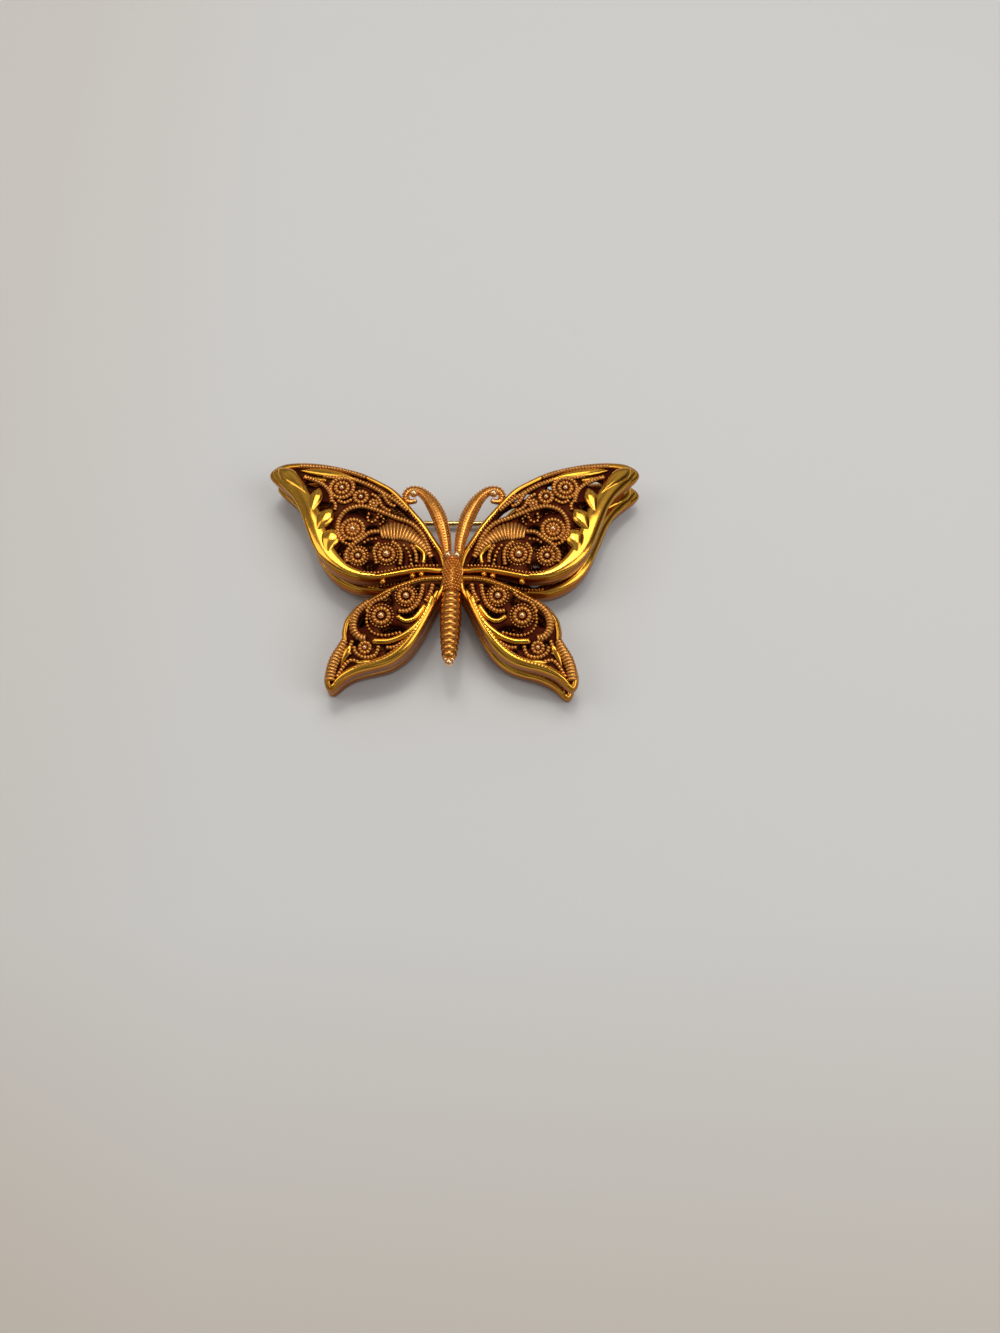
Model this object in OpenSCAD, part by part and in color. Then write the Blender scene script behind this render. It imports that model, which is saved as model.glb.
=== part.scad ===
/* [Forewings] */
// Reach of a forewing from its root at the body to its tip
forewing_length = 24.6; // [20:0.1:30]
// Width of a forewing across its deepest stretch
forewing_width = 17.8; // [14:0.1:21]
// How far the forewing's lower edge lies below the middle of the thorax
forewing_drop = 3; // [2:0.1:3.6]

/* [Hindwings] */
// Reach of a hindwing out from its root
hindwing_length = 15.8; // [12:0.1:19]
// Length of a hindwing from its upper edge down to the tail
hindwing_depth = 15.8; // [12:0.1:19]
// How far the hindwing's upper edge lies below the middle of the thorax
hindwing_drop = 2.1; // [1.8:0.1:3]
// Backward bend of the hindwings
hindwing_bend = 8; // [4:0.5:12]

/* [Castings] */
// Distance from the body's axis to the wing roots
root_offset = 0.9; // [0.4:0.05:1.1]
// Height of a wing from the rim's lower edge to the crown of its dome
wing_height = 2.6; // [2.2:0.1:3.4]
// Radius of the dome that each wing is part of
dome_radius = 55; // [45:1:120]
// Thickness of the pierced panel
panel_thickness = 0.9; // [0.6:0.05:1.2]
// Width of the solid rim round each wing
rim_width = 0.8; // [0.6:0.05:1]
// How far the rim stands above the panel
rim_rise = 0.35; // [0.15:0.05:0.6]
// Depth that the beads between forewings and hindwings reach into both rims
tie_bite = 0.22; // [0.15:0.01:0.35]
// How far the scrolls and rosettes stand above the panel
relief_rise = 0.3; // [0.15:0.05:0.5]
// Width of a scroll ridge
ridge_width = 0.34; // [0.2:0.02:0.5]
// Distance between the two castings, from rim to rim
layer_spacing = 3.6; // [3.3:0.1:5]
// Turn of the back casting on the rivet
back_turn = -1.4; // [-3:0.1:3]
// Slip of the back casting towards the tails
back_slip = 0.6; // [0:0.05:0.8]

/* [Body] */
// Radius of the thorax
thorax_radius = 1.25; // [1.15:0.05:1.5]
// Length of the thorax in front of the middle
head_reach = 0.8; // [0.5:0.05:1.2]
// Length of the thorax behind the middle
thorax_reach = 4.4; // [3.6:0.1:5]
// Radius of the abdomen at the thorax
abdomen_radius = 1; // [0.8:0.05:1.1]
// Length of the abdomen
abdomen_length = 10.2; // [8:0.1:12]
// Number of rings on the abdomen
abdomen_rings = 13; // [8:1:16]
// Height of the abdomen's rings
ring_rise = 0.14; // [0.08:0.02:0.2]
// Radius of an eye
eye_radius = 0.6; // [0.45:0.05:0.7]
// Distance of an eye from the middle plane
eye_offset = 0.62; // [0.5:0.02:0.8]

/* [Antennae] */
// Radius of an antenna
antenna_radius = 0.62; // [0.5:0.02:0.75]
// Distance of an antenna's foot from the middle plane
antenna_foot = 1.1; // [0.9:0.05:1.3]
// Outward lean of the straight stretch
antenna_lean = 3; // [0:0.5:6]
// Radius of the antenna's wide curve
antenna_curve = 3.8; // [3.4:0.1:4.4]
// Radius of the curl at the antenna's end
antenna_curl = 0.85; // [0.8:0.05:1]
// Gap between the curl and the forewing's edge
curl_gap = 0.15; // [0.1:0.05:0.4]
// Radius of the bead on the curl's end
bead_radius = 0.62; // [0.56:0.02:0.66]

/* [Rivet] */
// Radius of the peg that joins the castings
peg_radius = 0.9; // [0.7:0.05:1]
// Clearance round the peg in the back casting
peg_clearance = 0.05; // [0.02:0.01:0.1]
// Radius of the spread head behind the back casting
head_radius = 1.5; // [1.3:0.05:1.8]
// Thickness of the spread head
head_thickness = 0.5; // [0.4:0.05:0.7]
// Radius of the back casting's boss
boss_radius = 2.5; // [2.2:0.1:3]
// Distance of the peg below the middle of the thorax
peg_drop = 1.6; // [1.2:0.1:2]

/* [Pin] */
// Radius of the pin's wire
wire_radius = 0.4; // [0.3:0.05:0.5]
// Share of the forewing's width at which the pin lies above the middle of the thorax
pin_share = 0.5; // [0.42:0.01:0.52]
// Share of the forewing's reach at which the hinge and catch stand beside the middle
block_share = 0.496; // [0.42:0.004:0.52]
// How far the point reaches past the catch
point_reach = 2.2; // [1.5:0.1:3]
// Radius of the rolled hinge and of the catch's hook
barrel_radius = 1.15; // [0.9:0.05:1.3]
// Width of the hinge and of the catch along the wire
block_width = 2.2; // [1.6:0.1:2.6]
// Thickness of the posts behind the casting
post_thickness = 1; // [0.8:0.05:1.4]
// Small gap left between neighbouring pieces
seat_gap = 0.08; // [0.05:0.01:0.15]

/* [Hidden] */

CURVE_FN = 96;
BALL_FN = 32;
GAP_SIDES = 12;
// Depth that a relief shape is sunk into what carries it
bite = 0.25;
// Extra height that keeps a cutter or blank clear of the faces it crosses
spare = 1;

// Columns: along, across, as shares of the wing's length and width
FOREWING_OUTLINE = [
  [0, 0.09], [0.005, 0.22], [0.06, 0.345], [0.118, 0.47], [0.183, 0.58],
  [0.285, 0.745], [0.37, 0.82], [0.488, 0.905], [0.6, 0.95], [0.715, 0.983],
  [0.837, 1], [0.943, 0.983], [1, 0.91], [0.98, 0.837], [0.886, 0.736],
  [0.841, 0.674], [0.817, 0.59], [0.793, 0.5], [0.768, 0.41], [0.736, 0.292],
  [0.68, 0.169], [0.61, 0.076], [0.533, 0.022], [0.455, 0], [0.37, 0.003],
  [0.248, 0.04], [0.138, 0.073]
];
HINDWING_OUTLINE = [
  [0, 0.003], [0.133, 0], [0.228, 0.016], [0.348, 0.057], [0.487, 0.12],
  [0.595, 0.184], [0.69, 0.24], [0.753, 0.285], [0.804, 0.342], [0.842, 0.405],
  [0.861, 0.494], [0.861, 0.563], [0.886, 0.62], [0.93, 0.684], [0.962, 0.747],
  [0.987, 0.816], [1, 0.892], [0.987, 0.962], [0.949, 1], [0.905, 0.975],
  [0.842, 0.918], [0.766, 0.873], [0.677, 0.842], [0.57, 0.816], [0.468, 0.785],
  [0.373, 0.728], [0.297, 0.658], [0.234, 0.57], [0.177, 0.468], [0.127, 0.367],
  [0.076, 0.26], [0.025, 0.171], [0, 0.12]
];

// Columns: along, across, half length, half width, turn in degrees
FOREWING_GAPS = [
  [0.348, 0.494, 0.024, 0.024, 0], [0.268, 0.556, 0.105, 0.036, 37],
  [0.341, 0.697, 0.084, 0.034, 25], [0.512, 0.787, 0.037, 0.031, 0],
  [0.752, 0.837, 0.079, 0.045, -8], [0.703, 0.612, 0.067, 0.031, -10],
  [0.63, 0.579, 0.036, 0.036, 0], [0.663, 0.421, 0.053, 0.034, 90],
  [0.411, 0.393, 0.051, 0.042, 0], [0.431, 0.264, 0.053, 0.034, 0],
  [0.569, 0.236, 0.056, 0.034, 105], [0.415, 0.107, 0.051, 0.031, 0],
  [0.244, 0.18, 0.073, 0.034, 85], [0.183, 0.18, 0.062, 0.025, 115],
  [0.093, 0.191, 0.09, 0.028, 46], [0.207, 0.444, 0.062, 0.02, 40]
];
HINDWING_GAPS = [
  [0.234, 0.161, 0.073, 0.038, 90], [0.089, 0.108, 0.041, 0.032, 0],
  [0.481, 0.228, 0.047, 0.032, 45], [0.304, 0.335, 0.089, 0.038, -5],
  [0.677, 0.399, 0.073, 0.032, -51], [0.43, 0.494, 0.108, 0.035, 5],
  [0.551, 0.627, 0.051, 0.028, 20], [0.741, 0.62, 0.051, 0.028, 0],
  [0.443, 0.674, 0.044, 0.018, -20], [0.848, 0.722, 0.054, 0.018, -50]
];

// Columns: along, across, outer ring radius, inner ring radius, ball radius
FOREWING_ROSETTES = [
  [0.528, 0.396, 0.112, 0.062, 0.031], [0.337, 0.185, 0.076, 0, 0.034],
  [0.606, 0.775, 0.085, 0.042, 0.014], [0.486, 0.163, 0.062, 0, 0.025],
  [0.484, 0.69, 0.037, 0, 0.02]
];
HINDWING_ROSETTES = [
  [0.342, 0.209, 0.057, 0, 0.032], [0.538, 0.367, 0.076, 0, 0.035],
  [0.652, 0.673, 0.038, 0, 0.025]
];

// Columns: along, across, points of one ridge from the root outwards
FOREWING_SCROLL = [
  [0.06, 0.12], [0.138, 0.298], [0.224, 0.466], [0.313, 0.584],
  [0.427, 0.64], [0.549, 0.618], [0.65, 0.516], [0.679, 0.371]
];
HINDWING_SCROLL = [
  [0.06, 0.2], [0.19, 0.38], [0.26, 0.52], [0.36, 0.63], [0.5, 0.71],
  [0.64, 0.745], [0.78, 0.79], [0.88, 0.86]
];
HINDWING_CRESCENT = [
  [0.235, 0.545], [0.33, 0.614], [0.437, 0.645], [0.532, 0.633]
];

// Bright lobes of the forewing's outer border: along, across, half length, half width, turn
FOREWING_LOBES = [
  [0.775, 0.66, 0.075, 0.05, 100], [0.735, 0.5, 0.09, 0.05, 105],
  [0.7, 0.3, 0.095, 0.055, 65], [0.87, 0.84, 0.075, 0.05, 25]
];
// Crescent gap over the big rosette: angles in degrees, radius and width as shares
CRESCENT_FROM = 78;
CRESCENT_TO = 148;
CRESCENT_RADIUS = 0.166;
CRESCENT_WIDTH = 0.05;
CRESCENT_STEPS = 6;
// Fan of ridges round the big rosette on its root side: first radius and step, as shares
FAN_START = 0.235;
FAN_STEP = 0.031;
FAN_COUNT = 4;
FAN_FROM = 168;
FAN_TO = 196;
FAN_STEPS = 3;
// Points that a smooth curve is given between two points of its list
CURVE_STEPS = 2;
// Beads between the wings of a side: the forewing's and the hindwing's outline point
TIES = [[25, 3], [26, 2]];

body_axis_z = wing_height - thorax_radius + rim_rise;
dome_share = [0.49, 0.5];
tail_fall = hindwing_depth * sin(hindwing_bend);
back_z = tail_fall;
front_z = back_z + layer_spacing;
antenna_heading = 90 - antenna_lean;
// Radius of the round joints between an antenna's stretches, and of its thinner curl
knuckle_radius = 1.1 * antenna_radius;
curl_radius = 0.8 * antenna_radius;
CURL_SWEEP = 200;
// Share of the way from the fourth to the fifth step of the outline where the curl sits
CURL_STATION = 0.35;
// Depth that an antenna's foot is set into the thorax
antenna_root = 0.4;
pin_rise = pin_share * forewing_width;
block_offset = block_share * forewing_length;
wire_z = barrel_radius;
// Catch mouth that the wire just passes, and flat feet below the posts
mouth_height = 1.3 * wire_radius;
foot_width = 1.1 * barrel_radius;
// Radius of the wire's blunt point
point_radius = wire_radius / 8;
pad_radius = 1.5;
pad_thickness = 0.6;
abdomen_start = -thorax_reach;

// A point between b and c on the curve through a, b, c and d
function blend(a, b, c, d, t) =
  0.5 * (2 * b + (c - a) * t + (2 * a - 5 * b + 4 * c - d) * t * t
    + (3 * b - a - 3 * c + d) * t * t * t);

// Closed smooth curve through the points p
function smooth_loop(p, steps) =
  let (n = len(p))
  [for (i = [0:n - 1]) for (k = [0:steps - 1])
    blend(p[(i + n - 1) % n], p[i], p[(i + 1) % n], p[(i + 2) % n], k / steps)];

// Open smooth curve through the points p
function smooth_path(p, steps) =
  let (n = len(p))
  concat(
    [for (i = [0:n - 2]) for (k = [0:steps - 1])
      blend(p[max(i - 1, 0)], p[i], p[i + 1], p[min(i + 2, n - 1)], k / steps)],
    [p[n - 1]]
  );

function unit(v) = v / norm(v);
function side(p, i) =
  let (d = unit(p[min(i + 1, len(p) - 1)] - p[max(i - 1, 0)]))
  [-d.y, d.x];

// Outline of a ribbon of width w along the path p
function ribbon(p, w) =
  concat(
    [for (i = [0:len(p) - 1]) p[i] + side(p, i) * w / 2],
    [for (i = [len(p) - 1:-1:0]) p[i] - side(p, i) * w / 2]
  );

function arc_path(c, r, from, to, steps) =
  [for (k = [0:steps]) let (a = from + (to - from) * k / steps) c + r * [cos(a), sin(a)]];

// Shares of a forewing to millimetres beside the thorax
function fore(p) = [root_offset + p.x * forewing_length, p.y * forewing_width - forewing_drop];
// Shares of a hindwing to millimetres beside the thorax
function hind(p) = [root_offset + p.x * hindwing_length, -hindwing_drop - p.y * hindwing_depth];

fore_edge = smooth_loop([for (p = FOREWING_OUTLINE) fore(p)], CURVE_STEPS);
hind_edge = smooth_loop([for (p = HINDWING_OUTLINE) hind(p)], CURVE_STEPS);
big_rosette = fore(FOREWING_ROSETTES[0]);

// Place in the brooch of the middle of the thorax, halfway between wing tops and tails
top_y = max([for (p = fore_edge) p.y]);
tail_y = -hindwing_drop + (min([for (p = hind_edge) p.y]) + hindwing_drop) * cos(hindwing_bend)
  - wing_height * sin(hindwing_bend) - back_slip;
thorax_y = -(top_y + tail_y) / 2;

// Oval with its length and width as shares of one wing width
module oval(place, g, size) {
  translate(place)
    rotate(g[4])
      scale([g[2] * size, g[3] * size])
        circle(r = 1, $fn = GAP_SIDES);
}

module forewing_plate() {
  offset(delta = 0.001)
    difference() {
      offset(delta = -rim_width / 2) polygon(fore_edge);
      for (g = FOREWING_GAPS) oval(fore(g), g, forewing_width);
      polygon(ribbon(arc_path(big_rosette, CRESCENT_RADIUS * forewing_width,
        CRESCENT_FROM, CRESCENT_TO, CRESCENT_STEPS), CRESCENT_WIDTH * forewing_width));
    }
}

module hindwing_plate() {
  offset(delta = 0.001)
    difference() {
      offset(delta = -rim_width / 2) polygon(hind_edge);
      for (g = HINDWING_GAPS) oval(hind(g), g, hindwing_depth);
    }
}

module forewing_border() {
  offset(delta = 0.001)
    union() {
      difference() {
        polygon(fore_edge);
        offset(delta = -rim_width) polygon(fore_edge);
      }
      intersection() {
        offset(delta = -rim_width / 2) polygon(fore_edge);
        for (g = FOREWING_LOBES) oval(fore(g), g, forewing_width);
      }
    }
}

module hindwing_border() {
  offset(delta = 0.001)
    difference() {
      polygon(hind_edge);
      offset(delta = -rim_width) polygon(hind_edge);
    }
}

module forewing_ridges() {
  offset(delta = 0.001)
    union() {
      polygon(ribbon(smooth_path([for (p = FOREWING_SCROLL) fore(p)], CURVE_STEPS), ridge_width));
      for (k = [0:FAN_COUNT - 1])
        polygon(ribbon(arc_path(big_rosette, (FAN_START + k * FAN_STEP) * forewing_width,
          FAN_FROM, FAN_TO, FAN_STEPS), ridge_width / 2));
    }
}

module hindwing_ridges() {
  offset(delta = 0.001)
    union() {
      polygon(ribbon(smooth_path([for (p = HINDWING_SCROLL) hind(p)], CURVE_STEPS), ridge_width));
      polygon(ribbon(smooth_path([for (p = HINDWING_CRESCENT) hind(p)], CURVE_STEPS), ridge_width));
    }
}

// Ball of the dome that a wing is part of, grown by extra
module dome(centre, extra) {
  translate([centre.x, centre.y, wing_height - dome_radius])
    sphere(r = dome_radius + extra, $fn = CURVE_FN);
}

module shell(centre, low, high) {
  difference() {
    dome(centre, high);
    dome(centre, low);
  }
}

// Concentric rings of a row of rosettes, as tubes that stand through the dome
module rosette_rings(rows, place_of, size) {
  for (r = rows) {
    place = place_of(r);
    for (share = [r[2], r[3]])
      if (share > 0)
        translate(place)
          difference() {
            cylinder(r = share * size + ridge_width / 2, h = wing_height + spare, $fn = BALL_FN);
            translate([0, 0, -spare])
              cylinder(r = share * size - ridge_width / 2, h = wing_height + 3 * spare, $fn = BALL_FN);
          }
  }
}

function dome_top(p, centre) =
  wing_height - dome_radius + sqrt(pow(dome_radius, 2) - pow(norm(p - centre), 2));

module rosette_balls(rows, place_of, size, centre) {
  for (r = rows) {
    place = place_of(r);
    translate([place.x, place.y, dome_top(place, centre)])
      sphere(r = r[4] * size, $fn = BALL_FN);
  }
}

module forewing(dressed) {
  centre = fore(dome_share);
  intersection() {
    linear_extrude(wing_height + spare) forewing_border();
    dome(centre, rim_rise);
  }
  intersection() {
    linear_extrude(wing_height + spare) forewing_plate();
    shell(centre, -panel_thickness, 0);
  }
  if (dressed) {
    intersection() {
      union() {
        linear_extrude(wing_height + spare) forewing_ridges();
        rosette_rings(FOREWING_ROSETTES, function(r) fore(r), forewing_width);
      }
      shell(centre, -bite, relief_rise);
    }
    rosette_balls(FOREWING_ROSETTES, function(r) fore(r), forewing_width, centre);
  }
}

module hindwing(dressed) {
  centre = hind(dome_share);
  intersection() {
    linear_extrude(wing_height + spare) hindwing_border();
    dome(centre, rim_rise);
  }
  intersection() {
    linear_extrude(wing_height + spare) hindwing_plate();
    shell(centre, -panel_thickness, 0);
  }
  if (dressed) {
    intersection() {
      union() {
        linear_extrude(wing_height + spare) hindwing_ridges();
        rosette_rings(HINDWING_ROSETTES, function(r) hind(r), hindwing_depth);
      }
      shell(centre, -bite, relief_rise);
    }
    rosette_balls(HINDWING_ROSETTES, function(r) hind(r), hindwing_depth, centre);
  }
}

// Hindwing bent back about the line of its upper edge
module bent_hindwing(dressed) {
  translate([0, -hindwing_drop, 0])
    rotate([hindwing_bend, 0, 0])
      translate([0, hindwing_drop, 0])
        hindwing(dressed);
}

// Beads that tie a forewing's lower edge to its hindwing
module wing_ties() {
  for (t = TIES) {
    a = fore(FOREWING_OUTLINE[t[0]]);
    b = hind(HINDWING_OUTLINE[t[1]]);
    translate([(a.x + b.x) / 2, (a.y + b.y) / 2, wing_height / 2])
      sphere(r = norm(b - a) / 2 + tie_bite, $fn = BALL_FN);
  }
}

module wings(dressed) {
  for (flip = [0, 1])
    mirror([flip, 0, 0]) {
      forewing(dressed);
      bent_hindwing(dressed);
      wing_ties();
    }
}

// Length of the thorax's sloped ends, and share of its radius left at the head
thorax_slope = 0.6;
HEAD_SHARE = 0.75;
// Abdomen: share of its radius lost on the way to the tail, and share left at the tail's end
ABDOMEN_TAPER = 0.3;
TAIL_SHARE = 0.6;

// Half outline of the body: thorax, then the ringed and tapered abdomen
function abdomen_width(t) = abdomen_radius * (1 - ABDOMEN_TAPER * t * t);
function body_profile() =
  let (pitch = abdomen_length / abdomen_rings)
  concat(
    [[0, head_reach], [thorax_radius * HEAD_SHARE, head_reach]],
    [[thorax_radius, head_reach - thorax_slope], [thorax_radius, abdomen_start + thorax_slope]],
    [for (i = [0:abdomen_rings - 1]) for (k = [0, 1])
      let (t = (i + k / 2) / abdomen_rings)
      [abdomen_width(t) + (k == 1 ? ring_rise : 0), abdomen_start - t * abdomen_length]],
    [[abdomen_width(1) * TAIL_SHARE, abdomen_start - abdomen_length],
      [0, abdomen_start - abdomen_length]]
  );

module body() {
  translate([0, 0, body_axis_z]) {
    rotate([-90, 0, 0])
      rotate_extrude($fn = CURVE_FN) polygon(body_profile());
    for (flip = [-1, 1])
      translate([flip * eye_offset, head_reach + eye_radius / 2, eye_radius / 2])
        sphere(r = eye_radius, $fn = BALL_FN);
    translate([0, abdomen_start - abdomen_length, 0])
      sphere(r = eye_radius, $fn = BALL_FN);
  }
}

module arc_tube(centre, radius, from, sweep, thickness) {
  translate([centre.x, centre.y, 0])
    rotate([0, 0, from])
      rotate_extrude(angle = sweep, $fn = CURVE_FN)
        translate([radius, 0]) circle(r = thickness, $fn = BALL_FN);
}

// Middle of the curl, beside the forewing's edge
function curl_place() =
  let (
    p = [for (k = [3:6]) fore(FOREWING_OUTLINE[k])],
    edge = blend(p[0], p[1], p[2], p[3], CURL_STATION),
    reach = antenna_curl + curl_radius + curl_gap
  )
  edge + reach * side(p, 1);

// Straight stem, wide curve and curl that run into each other
module antenna() {
  foot = [antenna_foot, head_reach - antenna_root];
  heading = [cos(antenna_heading), sin(antenna_heading)];
  across = [heading.y, -heading.x];
  curl_centre = curl_place();
  ahead = (curl_centre - foot) * heading;
  aside = (curl_centre - foot) * across - antenna_curve;
  stem = ahead - sqrt(pow(antenna_curve - antenna_curl, 2) - aside * aside);
  top = foot + stem * heading;
  centre = top + antenna_curve * across;
  outward = unit(curl_centre - centre);
  rim_angle = atan2(outward.y, outward.x);
  end_angle = rim_angle - CURL_SWEEP;
  rim = centre + antenna_curve * outward;
  curl_end = curl_centre + antenna_curl * [cos(end_angle), sin(end_angle)];
  translate([0, 0, body_axis_z]) {
    translate([foot.x, foot.y, 0])
      rotate([-90, 0, -antenna_lean])
        cylinder(r = antenna_radius, h = stem, $fn = BALL_FN);
    translate([top.x, top.y, 0]) sphere(r = knuckle_radius, $fn = BALL_FN);
    arc_tube(centre, antenna_curve, rim_angle, antenna_heading + 90 - rim_angle, antenna_radius);
    translate([rim.x, rim.y, 0]) sphere(r = knuckle_radius, $fn = BALL_FN);
    arc_tube(curl_centre, antenna_curl, end_angle, CURL_SWEEP, curl_radius);
    translate([curl_end.x, curl_end.y, 0]) sphere(r = bead_radius, $fn = BALL_FN);
  }
}

// Peg with a shoulder that spaces the castings and a head spread behind the back one
module rivet_peg() {
  boss_top = back_z - front_z + wing_height - panel_thickness;
  boss_low = back_z - front_z + panel_thickness;
  translate([0, -peg_drop, 0]) {
    translate([0, 0, boss_low - seat_gap - head_thickness / 2])
      cylinder(r = peg_radius, h = body_axis_z - boss_low + seat_gap + head_thickness / 2, $fn = CURVE_FN);
    translate([0, 0, boss_low - seat_gap - head_thickness])
      cylinder(r = head_radius, h = head_thickness, $fn = CURVE_FN);
    translate([0, 0, boss_top + seat_gap])
      cylinder(r = head_radius, h = body_axis_z - boss_top - seat_gap, $fn = CURVE_FN);
  }
}

module front_butterfly() {
  color("darkgoldenrod")
    translate([0, thorax_y, front_z]) {
      wings(true);
      body();
      for (flip = [0, 1]) mirror([flip, 0, 0]) antenna();
      rivet_peg();
    }
}

// Round boss that joins the four wings of the back casting
module back_boss() {
  translate([0, 0, panel_thickness])
    cylinder(r = boss_radius, h = wing_height - 2 * panel_thickness, $fn = CURVE_FN);
}

// Back casting, turned on the peg and bored for it
module back_butterfly() {
  color("goldenrod")
    translate([0, thorax_y - peg_drop, back_z])
      difference() {
        union() {
          back_boss();
          rotate([0, 0, back_turn])
            translate([0, peg_drop - back_slip, 0])
              wings(false);
        }
        translate([0, 0, -spare]) {
          cylinder(r = peg_radius + peg_clearance, h = wing_height + 2 * spare, $fn = CURVE_FN);
          // The peg's head lies clear of the wing roots
          cylinder(r = head_radius + peg_clearance, h = spare + panel_thickness + peg_clearance, $fn = CURVE_FN);
        }
      }
}

// Post from the wire up to the hollow side of the back casting, with a pad below its dome
module post() {
  reach = norm([block_offset, pin_rise + back_slip] - fore(dome_share)) + pad_radius;
  pad_top = back_z + wing_height - dome_radius
    + sqrt(pow(dome_radius - panel_thickness, 2) - reach * reach) - seat_gap;
  translate([-block_width / 2, -post_thickness / 2, wire_z])
    cube([block_width, post_thickness, pad_top - wire_z]);
  translate([0, 0, pad_top - pad_thickness])
    cylinder(r = pad_radius, h = pad_thickness, $fn = CURVE_FN);
  translate([-block_width / 2, -foot_width / 2, 0])
    cube([block_width, foot_width, wire_z / 2]);
}

// Rolled hinge at one end, open hook at the other, and the straight wire between them
module pin_clasp() {
  color("gold")
    translate([0, thorax_y + pin_rise, 0]) {
      translate([-block_offset, 0, 0]) {
        post();
        translate([0, 0, wire_z])
          rotate([90, 0, 0])
            cylinder(r = barrel_radius, h = block_width, center = true, $fn = CURVE_FN);
      }
      translate([block_offset, 0, 0]) {
        post();
        difference() {
          translate([0, 0, wire_z])
            rotate([0, 90, 0])
              cylinder(r = barrel_radius, h = block_width, center = true, $fn = CURVE_FN);
          translate([-block_width, -2 * barrel_radius, wire_z - mouth_height / 2])
            cube([2 * block_width, 2 * barrel_radius, mouth_height]);
        }
      }
      translate([-block_offset, 0, wire_z])
        rotate([0, 90, 0]) {
          cylinder(r = wire_radius, h = 2 * block_offset + point_reach / 2, $fn = CURVE_FN);
          translate([0, 0, 2 * block_offset + point_reach / 2])
            cylinder(r1 = wire_radius, r2 = point_radius, h = point_reach / 2, $fn = CURVE_FN);
        }
    }
}

front_butterfly();
back_butterfly();
pin_clasp();
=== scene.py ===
"""Visual model of the insect brooch: two pierced butterfly castings on one rivet, and a pin."""

import logging
import math
from dataclasses import dataclass, field
from enum import Enum
from typing import Callable, Iterable, Sequence

import bmesh
import bpy
from mathutils import Matrix, Vector, kdtree


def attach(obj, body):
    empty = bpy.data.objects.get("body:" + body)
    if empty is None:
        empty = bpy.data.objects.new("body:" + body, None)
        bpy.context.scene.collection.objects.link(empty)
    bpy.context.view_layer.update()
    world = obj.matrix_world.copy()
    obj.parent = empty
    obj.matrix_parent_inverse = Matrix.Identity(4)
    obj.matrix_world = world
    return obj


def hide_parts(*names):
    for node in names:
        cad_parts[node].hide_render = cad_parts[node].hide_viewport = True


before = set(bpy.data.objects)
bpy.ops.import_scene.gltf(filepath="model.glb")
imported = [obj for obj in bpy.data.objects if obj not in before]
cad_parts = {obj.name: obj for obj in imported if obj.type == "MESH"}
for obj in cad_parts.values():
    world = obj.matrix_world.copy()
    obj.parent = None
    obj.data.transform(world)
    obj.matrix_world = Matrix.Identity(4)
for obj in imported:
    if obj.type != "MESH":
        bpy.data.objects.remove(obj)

LOG = logging.getLogger("brooch")

MM = 0.001
UP = Vector((0.0, 0.0, 1.0))

# Casting, in millimetres: dome of a wing, panel and rim
DOME_RADIUS = 55.0
WING_HEIGHT = 2.6
DOME_SHARE = (0.49, 0.5)
PANEL_THICKNESS = 0.9
PANEL_INSET = 0.5
PANEL_STEP = 0.4
PANEL_CELL = 0.42
CRESCENT_STEP = 0.35
PANEL_EDGE = (0.3, 0.16)  # width and depth of its rounding
RIM_RISE = 0.35
RIM_STEP = 0.3
HIND_DROP = 2.1
HIND_BEND = math.radians(8.0)
BODY_AXIS = 1.7
BODY_TURN = math.radians(-1.0)

# Rivet and the back casting's boss, in millimetres
PEG_DROP = 1.6
PEG_RADIUS = 0.9
PEG_CLEARANCE = 0.05
HEAD_RADIUS = 1.5
HEAD_THICKNESS = 0.5
BOSS_RADIUS = 2.5
SEAT_GAP = 0.08

# Places of the castings in the brooch, in millimetres
THORAX_Y = 1.954
BACK_Z = 2.199
FRONT_Z = 5.799
BACK_TURN = math.radians(-1.4)
BACK_SLIP = 0.6
HIND_SHIFT = 0.9

# Grid lines of a panel's face: their shift as a share of a cell, distance that welds points
GRID_SHIFT = 0.37
WELD = 1e-4

# How finely curves, gaps and turned shells are cut, their seam's weld and a disc's bevel
CURVE_STEPS = 12
OVAL_POINTS = 20
SEAM = 1e-3
BODY_SIDES = 40
DISC_SIDES = 48
DISC_BEVEL = 0.08

# Rim section: offset outwards in millimetres, share of the wing's local height
RIM_SECTION = (
    (0.0, 0.0), (0.1, 0.5), (0.02, 0.8), (-0.16, 0.94), (-0.4, 1.0), (-0.62, 0.985),
    (-0.8, 0.92), (-0.88, 0.8), (-0.8, 0.6), (-0.5, 0.5), (-0.45, 0.0),
)

# Coiled wire: distance of its turns in millimetres, shares of its width and height along one turn
COIL_PITCH = 0.44
COIL_SWELLS = ((0.8, 0.5), (0.98, 0.93), (1.0, 1.0), (0.98, 0.93))
SMOOTH = ((1.0, 1.0),)
# Painted shade between a coil's turns.
COIL_GROOVE_SHADE = 2.0
BAND_HEIGHT = 0.42

# Smooth strips: half heights and lifts in millimetres, shares of a leaf's width along it
STRIP_STEP = 0.2
BROAD = 0.5
BROAD_SIDES = 24
NARROW_SIDES = 10
FLANGE_LIFT = 0.1
FLANGE_HEIGHT = 0.48
LEAF_LIFT = 0.14
LEAF_SHAPE = (0.08, 0.3, 0.55, 0.8, 0.97, 1.0, 0.72, 0.1)
BAR_END = 1.08

# Lift of a wire's middle or a ball's over the panel, as a share of its radius
COIL_LIFT = 0.45
BAR_LIFT = 0.5
BALL_LIFT = 0.7

# Beads of a rosette's bead rings, in millimetres, and how finely round shells are cut
BEAD_RADIUS = 0.21
BEAD_SPACING = 0.42
BEAD_LIFT = 0.12
BEAD_CUTS = 1
GRANULE_CUTS = 2
BALL_CUTS = 3

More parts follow.
